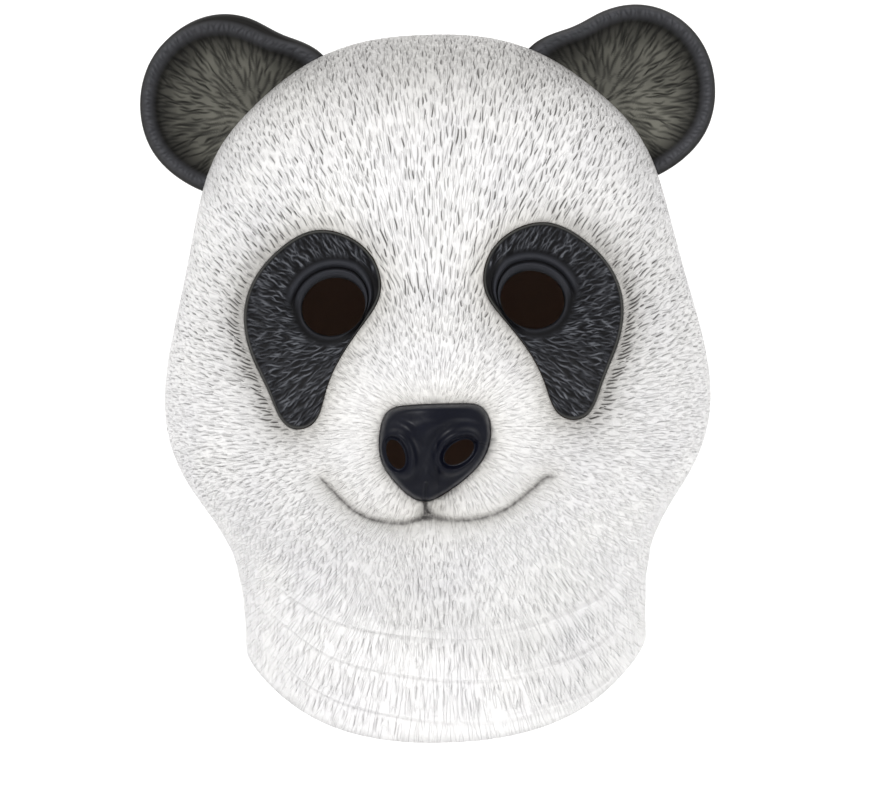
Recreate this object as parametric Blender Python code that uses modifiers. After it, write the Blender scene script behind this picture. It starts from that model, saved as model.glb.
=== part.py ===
"""Full-head panda mask: a hollow moulded skin with ears, eye patches and a nose set into it.

The face looks along -Y, +X is to the right of a viewer in front of it and +Z is up. The origin is
the seat inside the crown, where the top of a head carries the mask. Lengths are in metres.
"""

import math

import bmesh
import bpy
import numpy as np
from mathutils import Vector
from mathutils.bvhtree import BVHTree

# Walls and clearances
WALL = 0.002
GAP = 0.0003

# The skin: its height from the crown to the front of the hem, its greatest width at the cheeks,
# and how far the face and the back of the head lie from the head's axis
HEAD_HEIGHT = 0.323
HEAD_WIDTH = 0.256
FACE_DEPTH = 0.110
BACK_DEPTH = 0.114
MUZZLE_REACH = 0.053
SQUARENESS = 2.2

# The eye openings and the patches round them
EYE_ACROSS = 0.0440
EYE_DOWN = 0.1262
EYE_WIDE = 0.0285
EYE_TALL = 0.0255
EYE_TILT = math.radians(-14)
LID_RISE = 0.0030
LID_WIDTH = 0.0070
PATCH_WIDE = 0.0635
PATCH_TALL = 0.0880

# The nose, its nostrils, and the creases under it
NOSE_DOWN = 0.1912
NOSE_WIDE = 0.0470
NOSE_TALL = 0.0410
NOSE_RISE = 0.0085
NOSTRIL_LONG = 0.0135
NOSTRIL_SHORT = 0.0088
NOSTRIL_ACROSS = 0.0125
NOSTRIL_TILT = math.radians(48)
MOUTH_WIDE = 0.0985
SMILE_RISE = 0.0180
PHILTRUM_LENGTH = 0.0085
CREASE_RADIUS = 0.0024
CREASE_DEPTH = 0.0015

# The ears
EAR_RADIUS = 0.0405
EAR_ACROSS = 0.0965
EAR_DOWN = 0.0260
EAR_FRONT = -0.0020
EAR_SWEEP = 0.21
EAR_CUP = 0.0150
EAR_THICKNESS = 0.0090

# The folds of the neck: the wave's height
FOLD_DEPTH = 0.0009

# Number of faces round and down, and how much the skin's columns crowd towards the face
SKIN_COLUMNS = 44
COLUMN_CROWDING = 0.35
DOME_ROWS = 9
FACE_ROWS = 15
NECK_ROWS = 10
PATCH_SPOKES = 32
NOSE_SPOKES = 28
NOSTRIL_SIDES = 14
CREASE_POINTS = 30
EAR_SPOKES = 26

# Places at which the skin's profile is read, and those between two corners of a closed curve
PROFILE_SAMPLES = 400
CURVE_SAMPLES = 40
# The most that a wall is thickened along its depth where it slopes away
STEEPEST_WALL = 3
# A cutter that goes through the face starts this far ahead of the head's axis.
THROUGH_FRONT = -(FACE_DEPTH + 2 * MUZZLE_REACH)

# Level sections of the skin. Columns: height below the crown as a share of the head's height, and
# half width, face depth and back depth as shares of those three sizes.
SECTIONS = (
    (0.000, 0.000, 0.000, 0.000),
    (0.012, 0.290, 0.330, 0.320),
    (0.043, 0.470, 0.520, 0.500),
    (0.090, 0.625, 0.670, 0.650),
    (0.158, 0.775, 0.810, 0.800),
    (0.254, 0.862, 0.925, 0.940),
    (0.341, 0.912, 0.975, 1.000),
    (0.427, 0.966, 1.000, 1.000),
    (0.514, 1.000, 1.000, 0.970),
    (0.560, 0.995, 1.000, 0.940),
    (0.604, 0.966, 0.985, 0.915),
    (0.647, 0.912, 0.960, 0.880),
    (0.690, 0.840, 0.930, 0.840),
    (0.734, 0.780, 0.895, 0.800),
    (0.800, 0.742, 0.865, 0.765),
    (0.895, 0.734, 0.860, 0.760),
    (1.000, 0.734, 0.865, 0.760),
)
BROW_LEVEL = 0.254
THROAT_LEVEL = 0.720

# The trimmed hem. Columns: direction from the face in degrees, and height below the crown as a
# share of the head's height.
HEM = (
    (-180, 0.930),
    (-135, 0.912),
    (-90, 0.880),
    (-57, 0.925),
    (-38, 0.965),
    (0, 1.000),
    (38, 0.965),
    (57, 0.925),
    (90, 0.880),
    (135, 0.912),
    (180, 0.930),
)

# Forms of the face that rise from the level sections. Columns: distance to the side and half width
# as shares of half the head's width, height below the crown and half height as shares of the
# head's height, and the rise as a share of the muzzle's reach.
FACE_FORMS = {
    "muzzle": (0.00, 0.74, 0.595, 0.235, 1.00),
    "chin": (0.00, 0.36, 0.762, 0.125, 0.32),
    "jowl": (0.20, 0.27, 0.640, 0.110, 0.16),
    "bridge": (0.00, 0.22, 0.470, 0.160, 0.10),
    "socket": (0.36, 0.28, 0.400, 0.130, -0.12),
    "brow": (0.34, 0.35, 0.290, 0.100, 0.07),
    "cheek": (0.62, 0.40, 0.600, 0.200, 0.15),
}
# How full the forms are: 1 is a slope all the way, and more is a rounder top with steeper sides.
FORM_FULLNESS = 1.4
# The forms fade out over this share of the face's depth, towards the sides of the head.
FORM_FADE = 0.35

# Folds round the neck. Columns: height above the hem and half width, as shares of the head's height.
NECK_FOLDS = (
    (0.030, 0.020),
    (0.082, 0.028),
    (0.138, 0.030),
)

# The folds' share of their depth at the sides and the back of the neck
FOLD_BEHIND = 0.25

# The outline of the patch on the +X side, from the middle of the eye opening. Columns: distance
# outwards as a share of the patch's width, and upwards as a share of its height.
PATCH_OUTLINE = (
    (0.640, -0.015),
    (0.555, 0.165),
    (0.375, 0.300),
    (0.120, 0.385),
    (-0.125, 0.345),
    (-0.300, 0.215),
    (-0.325, 0.050),
    (-0.215, -0.085),
    (-0.060, -0.240),
    (0.060, -0.430),
    (0.170, -0.590),
    (0.300, -0.600),
    (0.455, -0.440),
    (0.590, -0.230),
)

# Rings of the eyelid, from the opening outwards. Columns: distance as a share of the lid's width,
# the most of the way to the patch's edge that it may take, and rise as a share of the lid's.
LID_RINGS = (
    (0.00, 0.200, 0.35),
    (0.25, 0.245, 1.00),
    (0.60, 0.308, 0.75),
    (1.10, 0.398, 0.10),
)
# Rings of the patch beyond the lid, as shares of the way to its edge
PATCH_RINGS = (0.5, 1)

# How far the spokes between the eye opening and the patch's edge point straight outwards. The rest
# of the way they are evenly spaced.
EDGE_FOLLOWED = 0.7

# One side of the nose's outline, from its top to its bottom. Columns: distance to the side as a
# share of half the nose's width, and height above its middle as a share of half its height.
NOSE_OUTLINE = (
    (0.00, 1.00),
    (0.45, 0.99),
    (0.84, 0.90),
    (1.00, 0.42),
    (0.88, -0.22),
    (0.60, -0.60),
    (0.29, -0.88),
    (0.00, -1.00),
)
# Rings of the nose. Columns: size as a share of the outline, and rise as a share of the nose's.
NOSE_RINGS = (
    (1.00, 0.02),
    (0.96, 0.42),
    (0.86, 0.72),
    (0.68, 0.92),
    (0.40, 1.00),
)

# Half of the smile crease. Columns: distance to the side as a share of half the mouth's width, and
# height above its lowest place as a share of the smile's rise.
SMILE = (
    (0.00, 0.085),
    (0.10, 0.050),
    (0.24, 0.000),
    (0.40, 0.010),
    (0.56, 0.130),
    (0.72, 0.350),
    (0.87, 0.720),
    (1.00, 1.000),
)

# The reach of the ear on the +X side from its middle. Columns: direction in degrees, from outwards
# and turning upwards, and reach as a share of the ear's radius.
EAR_OUTLINE = (
    (0, 0.990),
    (45, 1.020),
    (80, 1.010),
    (112, 0.970),
    (135, 1.030),
    (156, 1.280),
    (185, 1.340),
    (230, 1.250),
    (266, 1.100),
    (300, 1.005),
    (330, 0.995),
)
# A cut through the ear, from the middle of its cup over the rim to the middle of its back.
# Columns: reach as a share of the outline, and depth as shares of the cup and of the thickness.
EAR_CUT = (
    (0.00, 1.00, 0.00),
    (0.42, 0.88, 0.00),
    (0.70, 0.52, 0.00),
    (0.86, 0.12, 0.00),
    (0.93, 0.00, 0.00),
    (0.985, 0.03, 0.18),
    (1.00, 0.08, 0.52),
    (0.96, 0.16, 0.88),
    (0.86, 0.34, 1.02),
    (0.62, 0.68, 1.08),
    (0.00, 1.00, 1.12),
)


def spline(stations, values, where):
    """Natural cubic spline through a row of values for each station, read at the places given."""
    stations = np.asarray(stations, float)
    values = np.asarray(values, float)
    gap = np.diff(stations)
    system = np.eye(len(stations))
    bend = np.zeros(values.shape)
    for i in range(1, len(stations) - 1):
        system[i, i - 1 : i + 2] = gap[i - 1], 2 * (gap[i - 1] + gap[i]), gap[i]
        rise_after = (values[i + 1] - values[i]) / gap[i]
        rise_before = (values[i] - values[i - 1]) / gap[i - 1]
        bend[i] = 6 * (rise_after - rise_before)
    bend = np.linalg.solve(system, bend)
    where = np.asarray(where, float)
    k = np.clip(np.searchsorted(stations, where) - 1, 0, len(gap) - 1)
    span = gap[k]
    before = (stations[k + 1] - where) / span
    after = 1 - before
    if values.ndim > 1:
        before, after, span = before[..., None], after[..., None], span[..., None]
    curved = (before**3 - before) * bend[k] + (after**3 - after) * bend[k + 1]
    return before * values[k] + after * values[k + 1] + curved * span**2 / 6


def running_length(points):
    """Distance along a run of points, from the first."""
    steps = np.linalg.norm(np.diff(points, axis=0), axis=1)
    return np.concatenate([[0], np.cumsum(steps)])


def closed_curve(corners, count):
    """Evenly spaced points on the smooth closed curve through the corners."""
    corners = np.asarray(corners, float)
    turns = np.concatenate([corners, corners, corners, corners[:1]])
    along = running_length(turns)
    turn = along[-1] / 3
    fine = spline(along, turns, np.linspace(turn, 2 * turn, CURVE_SAMPLES * len(corners)))
    fine_along = running_length(fine)
    where = np.arange(count) * fine_along[-1] / count
    return np.stack([np.interp(where, fine_along, column) for column in fine.T], axis=1)


def grown(outline, margin):
    """A closed outline moved outwards by a margin."""
    tangent = np.roll(outline, -1, axis=0) - np.roll(outline, 1, axis=0)
    normal = np.stack([tangent[:, 1], -tangent[:, 0]], axis=1)
    normal /= np.linalg.norm(normal, axis=1, keepdims=True)
    turning = np.sum(outline[:, 0] * np.roll(outline[:, 1], -1) - np.roll(outline[:, 0], -1) * outline[:, 1])
    return outline + normal * margin * math.copysign(1, turning)


def bell(distance, fullness=1):
    """1 in the middle, falling smoothly to 0 at a distance of 1."""
    return np.cos(np.clip(distance, 0, 1) ** fullness * math.pi / 2) ** 2


def skin_profile():
    """Length along the skin from the crown, with height below it, half width and the two depths."""
    rows = np.array(SECTIONS) * (HEAD_HEIGHT, HEAD_WIDTH / 2, FACE_DEPTH, BACK_DEPTH)
    over_the_crown = rows[:0:-1] * (1, -1, -1, -1)
    rows = np.concatenate([over_the_crown, rows])
    along = running_length(rows[:, :2])
    along -= along[len(SECTIONS) - 1]
    curve = spline(along, rows, np.linspace(0, along[-1], PROFILE_SAMPLES))
    curve[0] = 0
    return running_length(curve[:, :2]), curve


SKIN_LENGTH, SKIN_CURVE = skin_profile()


def section(down):
    """Half width, face depth and back depth of the skin at a height below the crown."""
    return [np.interp(down, SKIN_CURVE[:, 0], SKIN_CURVE[:, k]) for k in (1, 2, 3)]


def face_relief(x, z):
    """How far the forms of the face rise from the level sections."""
    rise = 0
    down = WALL - z
    for side, half_wide, level, half_tall, share in FACE_FORMS.values():
        across = (np.abs(x) / (HEAD_WIDTH / 2) - side) / half_wide
        along = (down / HEAD_HEIGHT - level) / half_tall
        rise = rise + MUZZLE_REACH * share * bell(np.hypot(across, along), FORM_FULLNESS)
    return rise


def faded(share):
    """How much of the forms of the face is left, where the skin turns towards the side."""
    share = np.clip(share / FORM_FADE, 0, 1)
    return share**2 * (3 - 2 * share)


def face_y(x, z):
    """Depth of the skin's outer surface on the face."""
    wide, front, _ = section(WALL - z)
    across = np.clip(np.abs(x) / wide, 0, 1)
    share = (1 - across**SQUARENESS) ** (1 / SQUARENESS)
    return -front * share - face_relief(x, z) * faded(share)


def hem_down(angle):
    """Height of the hem below the crown, in a direction round the head."""
    directions, shares = zip(*HEM)
    return HEAD_HEIGHT * spline(directions, shares, math.degrees(angle))


def fold_rise(angle, above_hem):
    """How far the neck's folds lie in from its section, in a direction round the neck."""
    waves = sum(bell(abs(above_hem / HEAD_HEIGHT - level) / half) for level, half in NECK_FOLDS)
    return -FOLD_DEPTH * waves * (FOLD_BEHIND + (1 - FOLD_BEHIND) * max(0, math.cos(angle)))


def skin_point(angle, down):
    """A point of the skin's outer surface, in a direction round the head and a height below the crown."""
    wide, front, back = section(down)
    fold = fold_rise(angle, hem_down(angle) - down)
    side, ahead = math.sin(angle), math.cos(angle)
    across = math.copysign(abs(side) ** (2 / SQUARENESS), side)
    share = abs(ahead) ** (2 / SQUARENESS)
    x = across * (wide + fold)
    z = WALL - down
    if ahead > 0:
        return Vector((x, -share * (front + fold) - face_relief(x, z) * faded(share), z))
    return Vector((x, share * (back + fold), z))


def skin_rings():
    """Rings of points from the crown to the hem. The columns lie closer together on the face."""
    turns = np.linspace(-math.pi, math.pi, SKIN_COLUMNS, endpoint=False)
    angles = turns - COLUMN_CROWDING * np.sin(turns)
    brow = np.interp(BROW_LEVEL * HEAD_HEIGHT, SKIN_CURVE[:, 0], SKIN_LENGTH)
    throat = np.interp(THROAT_LEVEL * HEAD_HEIGHT, SKIN_CURVE[:, 0], SKIN_LENGTH)
    columns = []
    for angle in angles:
        hem = np.interp(hem_down(angle), SKIN_CURVE[:, 0], SKIN_LENGTH)
        lengths = np.concatenate([
            np.linspace(0, brow, DOME_ROWS, endpoint=False)[1:],
            np.linspace(brow, throat, FACE_ROWS, endpoint=False),
            np.linspace(throat, hem, NECK_ROWS),
        ])
        downs = np.interp(lengths, SKIN_LENGTH, SKIN_CURVE[:, 0])
        columns.append([skin_point(angle, down) for down in downs])
    return [[Vector((0, 0, WALL))]] + [list(ring) for ring in zip(*columns)]


def material(name, colour, roughness):
    """A plain finish for one kind of piece."""
    finish = bpy.data.materials.new(name)
    finish.use_nodes = True
    shader = finish.node_tree.nodes["Principled BSDF"]
    shader.inputs["Base Color"].default_value = (*colour, 1)
    shader.inputs["Roughness"].default_value = roughness
    finish.diffuse_color = (*colour, 1)
    return finish


def loft(name, rings, looped=False):
    """An object of flat faces between rings of points. A ring of one point closes in a fan."""
    shape = bmesh.new()
    rows = [[shape.verts.new(point) for point in ring] for ring in rings]
    pairs = list(zip(rows, rows[1:]))
    if looped:
        pairs.append((rows[-1], rows[0]))
    for upper, lower in pairs:
        for i in range(max(len(upper), len(lower))):
            corners = [
                upper[i % len(upper)],
                upper[(i + 1) % len(upper)],
                lower[(i + 1) % len(lower)],
                lower[i % len(lower)],
            ]
            shape.faces.new(dict.fromkeys(corners))
    bmesh.ops.recalc_face_normals(shape, faces=shape.faces)
    bmesh.ops.triangulate(shape, faces=shape.faces, quad_method="SHORT_EDGE")
    mesh = bpy.data.meshes.new(name)
    shape.to_mesh(mesh)
    shape.free()
    return bpy.data.objects.new(name, mesh)


def add_piece(collection, thing, finish):
    """Puts a piece in the mask's collection with its finish."""
    thing.data.materials.append(finish)
    thing.data.shade_smooth()
    collection.objects.link(thing)
    return thing


def add_cutter(collection, thing):
    """Puts a cutter in the cutters' collection, out of the render."""
    thing.hide_render = True
    thing.display_type = "WIRE"
    collection.objects.link(thing)
    return thing


def cut(thing, cutter):
    """Takes a cutter's shape out of a piece."""
    boolean = thing.modifiers.new(cutter.name, "BOOLEAN")
    boolean.operation = "DIFFERENCE"
    boolean.solver = "EXACT"
    boolean.object = cutter


def ellipse(centre, long, short, tilt, turn):
    """Points on a tilted ellipse, seen from the front, at turns from its long axis."""
    along, up = np.cos(turn) * long / 2, np.sin(turn) * short / 2
    x = centre[0] + along * math.cos(tilt) - up * math.sin(tilt)
    z = centre[1] + along * math.sin(tilt) + up * math.cos(tilt)
    return np.stack([x, z], axis=1)


def prism(name, outline, front, back):
    """A solid with the outline seen from the front, from one depth to another."""
    middle = outline.mean(axis=0)
    rings = [
        [Vector((middle[0], front, middle[1]))],
        [Vector((x, front, z)) for x, z in outline],
        [Vector((x, back, z)) for x, z in outline],
        [Vector((middle[0], back, middle[1]))],
    ]
    return loft(name, rings)


def wall_behind(x, z, front_y):
    """Depth of the inner face of a wall whose outer face slopes, so that it keeps its thickness."""
    step = WALL / 2
    slope_x = (front_y(x + step, z) - front_y(x - step, z)) / (2 * step)
    slope_z = (front_y(x, z + step) - front_y(x, z - step)) / (2 * step)
    return front_y(x, z) + WALL * min(math.sqrt(1 + slope_x**2 + slope_z**2), STEEPEST_WALL)


def shell_rings(outlines, rises):
    """Rings of a closed shell: over its outer face, then back behind its inner face."""

    def rings(depth):
        return [[Vector((x, depth(x, z, rise), z)) for x, z in ring] for ring, rise in zip(outlines, rises)]

    outer = rings(lambda x, z, rise: face_y(x, z) - rise)
    inner = rings(lambda x, z, rise: wall_behind(x, z, face_y) - rise)
    return outer + inner[::-1]


def patch_outline(side):
    """The patch's outline seen from the front, on the side given by the sign."""
    corners = np.array(PATCH_OUTLINE) * (PATCH_WIDE, PATCH_TALL)
    outline = closed_curve(corners, PATCH_SPOKES) + (EYE_ACROSS, -EYE_DOWN)
    return outline * (side, 1)


def eye_outline(side):
    """Points of the eye opening, each about the same way from its middle as one of the patch's edge."""
    middle = (EYE_ACROSS, -EYE_DOWN)
    across, up = (patch_outline(1) - middle).T
    towards_edge = np.unwrap(np.arctan2(up, across))
    even = towards_edge[0] + np.arange(PATCH_SPOKES) * 2 * math.pi / PATCH_SPOKES
    turn = EDGE_FOLLOWED * towards_edge + (1 - EDGE_FOLLOWED) * even - EYE_TILT
    return ellipse(middle, EYE_WIDE, EYE_TALL, EYE_TILT, turn) * (side, 1)


def eye_patch(name, side):
    """A patch with a raised eyelid round its opening."""
    opening, edge = eye_outline(side), patch_outline(side)
    reach = np.linalg.norm(edge - opening, axis=1)
    outlines = []
    for distance, most, _ in LID_RINGS:
        share = np.minimum(distance * LID_WIDTH / reach, most)[:, None]
        outlines.append(opening * (1 - share) + edge * share)
    outlines += [outlines[-1] * (1 - share) + edge * share for share in PATCH_RINGS]
    rises = [LID_RISE * rise for _, _, rise in LID_RINGS] + [0] * len(PATCH_RINGS)
    return loft(name, shell_rings(outlines, rises), looped=True)


def nose_outline():
    """The nose's outline seen from the front."""
    half = np.array(NOSE_OUTLINE)
    corners = np.concatenate([half, half[-2:0:-1] * (-1, 1)])
    corners *= (NOSE_WIDE / 2, NOSE_TALL / 2)
    return closed_curve(corners, NOSE_SPOKES) + (0, -NOSE_DOWN)


def nose_piece():
    """The domed nose, without its nostrils."""
    middle = np.array([0, -NOSE_DOWN])
    outline = nose_outline()
    outlines = [middle + (outline - middle) * size for size, _ in NOSE_RINGS]
    outlines.append(middle[None, :])
    rises = [NOSE_RISE * rise for _, rise in NOSE_RINGS] + [NOSE_RISE]
    return loft("nose", shell_rings(outlines[::-1], rises[::-1]))


def crease(name, points, skin):
    """A cutter for a crease: a tube that runs along the skin, sunk in it by the crease's depth."""
    lift = CREASE_RADIUS - CREASE_DEPTH
    surface = BVHTree.FromPolygons(
        [point.co for point in skin.data.vertices],
        [face.vertices for face in skin.data.polygons],
    )
    curve = bpy.data.curves.new(name, "CURVE")
    curve.dimensions = "3D"
    curve.bevel_depth = CREASE_RADIUS
    curve.bevel_resolution = 1
    curve.use_fill_caps = True
    line = curve.splines.new("POLY")
    line.points.add(len(points) - 1)
    for knot, (x, z) in zip(line.points, points):
        on_skin = surface.ray_cast(Vector((x, THROUGH_FRONT, z)), Vector((0, 1, 0)))[0]
        knot.co = (x, on_skin.y - lift, z, 1)
    drawn = bpy.data.objects.new(name + "_line", curve)
    bpy.context.scene.collection.objects.link(drawn)
    graph = bpy.context.evaluated_depsgraph_get()
    mesh = bpy.data.meshes.new_from_object(drawn.evaluated_get(graph))
    shape = bmesh.new()
    shape.from_mesh(mesh)
    bmesh.ops.remove_doubles(shape, verts=shape.verts, dist=WALL / 100)
    bmesh.ops.recalc_face_normals(shape, faces=shape.faces)
    shape.to_mesh(mesh)
    shape.free()
    bpy.data.objects.remove(drawn)
    return bpy.data.objects.new(name, mesh)


def smile_points():
    """The smile crease from one corner of the mouth to the other."""
    half = np.array(SMILE)
    both = np.concatenate([half[:0:-1] * (-1, 1), half])
    low = NOSE_DOWN + NOSE_TALL / 2 + PHILTRUM_LENGTH + SMILE[0][1] * SMILE_RISE
    points = both * (MOUTH_WIDE / 2, SMILE_RISE) - (0, low)
    along = running_length(points)
    return spline(along, points, np.linspace(0, along[-1], CREASE_POINTS))


def philtrum_points():
    """The short crease from under the nose down to the smile."""
    top = NOSE_DOWN + NOSE_TALL / 2 + GAP + CREASE_RADIUS
    return [(0, -top), (0, -(NOSE_DOWN + NOSE_TALL / 2 + PHILTRUM_LENGTH))]


def ear_solid(name, side, inset):
    """The filled form of an ear, or its hollow where it is inset by the wall."""
    cut_line = np.array(EAR_CUT)
    reach = cut_line[:, 0] * EAR_RADIUS
    depth = cut_line[:, 1] * EAR_CUP + cut_line[:, 2] * EAR_THICKNESS
    line = np.stack([reach, depth], axis=1)
    ahead = np.concatenate([line[1:], line[-1:]])
    behind = np.concatenate([line[:1], line[:-1]])
    tangent = ahead - behind
    tangent[0, 1] = 0
    tangent[-1, 1] = 0
    normal = np.stack([tangent[:, 1], -tangent[:, 0]], axis=1)
    normal /= np.linalg.norm(normal, axis=1, keepdims=True)
    line = line - normal * inset
    line[[0, -1], 0] = 0
    directions, shares = zip(*EAR_OUTLINE)
    directions = np.array(directions + tuple(360 + d for d in directions) + (720,))
    shares = np.array(shares + shares + shares[:1])
    turns = 180 + np.arange(EAR_SPOKES) * 360 / EAR_SPOKES
    stretch = spline(directions, shares, turns)
    rings = []
    for out, deep in line:
        ring = []
        for turn, share in zip(np.radians(turns), stretch):
            x = out * share * math.cos(turn)
            z = out * share * math.sin(turn)
            y = EAR_FRONT + deep + EAR_SWEEP * x
            ring.append(Vector((side * (EAR_ACROSS + x), y, z - EAR_DOWN)))
        rings.append(ring if out > 0 else ring[:1])
    return loft(name, rings)


def head_form():
    """The filled form of the head, a gap larger than the skin all round."""
    rings = skin_rings()
    form = loft("head_form", rings + [[Vector((0, 0, WALL - HEAD_HEIGHT))]])
    for point in form.data.vertices:
        point.co += point.normal * GAP
    return form


def build():
    """Makes the mask."""
    for thing in list(bpy.data.objects):
        bpy.data.objects.remove(thing)
    mask = bpy.data.collections.new("panda_mask")
    cutters = bpy.data.collections.new("cutters")
    bpy.context.scene.collection.children.link(mask)
    bpy.context.scene.collection.children.link(cutters)
    white = material("skin_white", (0.82, 0.81, 0.83), 0.62)
    charcoal = material("ear_charcoal", (0.035, 0.033, 0.030), 0.55)
    black = material("patch_black", (0.022, 0.022, 0.026), 0.5)
    gloss = material("nose_black", (0.012, 0.014, 0.020), 0.32)

    skin = add_piece(mask, loft("head_skin", skin_rings()), white)
    solidify = skin.modifiers.new("wall", "SOLIDIFY")
    solidify.thickness = WALL
    solidify.offset = -1
    solidify.use_even_offset = True

    form = add_cutter(cutters, head_form())
    for word, side in (("left", 1), ("right", -1)):
        add_piece(mask, eye_patch("eye_patch_" + word, side), black)
        window = prism("window_" + word, grown(patch_outline(side), GAP), THROUGH_FRONT, 0)
        cut(skin, add_cutter(cutters, window))
        ear = add_piece(mask, ear_solid("ear_" + word, side, 0), charcoal)
        hollow = add_cutter(cutters, ear_solid("ear_hollow_" + word, side, WALL))
        cut(ear, hollow)
        cut(ear, form)
        cut(skin, hollow)

    nose = add_piece(mask, nose_piece(), gloss)
    window = prism("window_nose", grown(nose_outline(), GAP), THROUGH_FRONT, 0)
    cut(skin, add_cutter(cutters, window))
    around = np.arange(NOSTRIL_SIDES) * 2 * math.pi / NOSTRIL_SIDES
    for word, side in (("left", 1), ("right", -1)):
        centre = (NOSTRIL_ACROSS, -NOSE_DOWN)
        outline = ellipse(centre, NOSTRIL_LONG, NOSTRIL_SHORT, NOSTRIL_TILT, around) * (side, 1)
        cut(nose, add_cutter(cutters, prism("nostril_" + word, outline, THROUGH_FRONT, 0)))
    cut(skin, add_cutter(cutters, crease("smile_crease", smile_points(), skin)))
    cut(skin, add_cutter(cutters, crease("philtrum", philtrum_points(), skin)))


build()
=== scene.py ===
# %% [markdown]
# A full-head panda mask, the kind that is poured in latex, cured, and painted by hand.
# The real thing is one soft skin with the fur cut into the mould, so the fur shows as short
# dashes sunk in the rubber, with grey paint wiped into them. This lesson rebuilds that skin, the
# two eye patches, the nose and the ears around a frame that already has the right sizes.
# We start by loading that frame.

# %% Load the frame
import math

import bmesh
import bpy
import numpy as np
from mathutils import Matrix, Vector
from mathutils.geometry import delaunay_2d_cdt
from mathutils.kdtree import KDTree


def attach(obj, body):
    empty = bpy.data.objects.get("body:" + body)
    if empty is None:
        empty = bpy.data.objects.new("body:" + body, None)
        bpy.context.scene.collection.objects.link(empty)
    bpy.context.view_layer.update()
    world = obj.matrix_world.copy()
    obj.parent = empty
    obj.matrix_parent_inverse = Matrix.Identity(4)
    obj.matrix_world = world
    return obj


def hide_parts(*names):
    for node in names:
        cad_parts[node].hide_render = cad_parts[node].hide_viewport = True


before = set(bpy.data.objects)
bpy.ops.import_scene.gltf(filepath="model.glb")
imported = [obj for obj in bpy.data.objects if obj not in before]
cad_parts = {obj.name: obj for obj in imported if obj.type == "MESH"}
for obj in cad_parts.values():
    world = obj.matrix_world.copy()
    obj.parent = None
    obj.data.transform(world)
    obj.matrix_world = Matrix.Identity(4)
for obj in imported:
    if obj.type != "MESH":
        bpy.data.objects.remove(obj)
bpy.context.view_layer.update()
MM = 0.001
print("pieces of the frame:", sorted(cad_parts))

# %% [markdown]
# The camera stands in front of the face at a portrait's distance, a touch to the mask's own left,
# and the photograph leans by two degrees. A long lens keeps the muzzle from looking too big.

# %% Camera
CAMERA_AZIMUTH = math.radians(0.35)
CAMERA_ROLL = math.radians(2.0)
CAMERA_DISTANCE = 1.6
CAMERA_TARGET = np.array([1.0, 0.0, -169.0]) * MM
LENS = 138.8

to_camera = np.array([math.sin(CAMERA_AZIMUTH), -math.cos(CAMERA_AZIMUTH), 0.0])
level_right = np.array([math.cos(CAMERA_AZIMUTH), math.sin(CAMERA_AZIMUTH), 0.0])
upright = np.array([0.0, 0.0, 1.0])
right = math.cos(CAMERA_ROLL) * level_right - math.sin(CAMERA_ROLL) * upright
up = math.sin(CAMERA_ROLL) * level_right + math.cos(CAMERA_ROLL) * upright

camera_data = bpy.data.cameras.new("portrait_camera")
camera_data.lens = LENS
camera_data.sensor_width = 36
camera = bpy.data.objects.new("portrait_camera", camera_data)
place = np.eye(4)
place[:3, 0], place[:3, 1], place[:3, 2] = right, up, to_camera
place[:3, 3] = CAMERA_TARGET + to_camera * CAMERA_DISTANCE
camera.matrix_world = Matrix(place)
bpy.context.scene.collection.objects.link(camera)
bpy.context.scene.camera = camera
print("camera at", np.round(place[:3, 3], 3))

# %% [markdown]
# The stage is one pale sheet that sweeps from the floor up to a backdrop, as in a photo studio.
# The mask is held up over it, as a head holds it. Large area lights give soft shade: a key light
# from the upper left, a weaker fill from the right, a low one that opens the shade under the
# chin, and a faint one from above. A last light falls on the backdrop alone, so that it stays
# white, and a pale world gives the rest.

# %% Stage and lights
FLOOR_LEVEL = -0.52
SWEEP_RADIUS = 0.5
BACKDROP_DEPTH = 1.6


def plain_material(name, colour, roughness):
    finish = bpy.data.materials.new(name)
    finish.use_nodes = True
    shader = finish.node_tree.nodes["Principled BSDF"]
    shader.inputs["Base Color"].default_value = (*colour, 1)
    shader.inputs["Roughness"].default_value = roughness
    return finish


def add_mesh(name, points, faces, smooth=True):
    """A mesh object from points and faces."""
    mesh = bpy.data.meshes.new(name)
    mesh.from_pydata([tuple(p) for p in points], [], [tuple(f) for f in faces])
    mesh.polygons.foreach_set("use_smooth", [smooth] * len(mesh.polygons))
    mesh.update()
    thing = bpy.data.objects.new(name, mesh)
    bpy.context.scene.collection.objects.link(thing)
    return thing


sweep = [(-3.0, FLOOR_LEVEL)]
for turn in np.radians(np.linspace(0, 90, 13)):
    sweep.append((BACKDROP_DEPTH - SWEEP_RADIUS + SWEEP_RADIUS * math.sin(turn),
                  FLOOR_LEVEL + SWEEP_RADIUS * (1 - math.cos(turn))))
sweep.append((BACKDROP_DEPTH, 3.0))
sheet_points = [(x, y, z) for y, z in sweep for x in (-4, 4)]
sheet_faces = [(2 * i, 2 * i + 1, 2 * i + 3, 2 * i + 2) for i in range(len(sweep) - 1)]
floor = add_mesh("studio_sweep", sheet_points, sheet_faces)
floor.data.materials.append(plain_material("studio_paper", (0.93, 0.93, 0.93), 0.9))


def area_light(name, place, size, power, target=(0, 0, -0.16)):
    """A soft square light that faces a target."""
    data = bpy.data.lights.new(name, "AREA")
    data.shape = "SQUARE"
    data.size = size
    data.energy = power
    lamp = bpy.data.objects.new(name, data)
    lamp.location = place
    lamp.rotation_euler = (Vector(target) - Vector(place)).to_track_quat("-Z", "Y").to_euler()
    bpy.context.scene.collection.objects.link(lamp)


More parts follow.
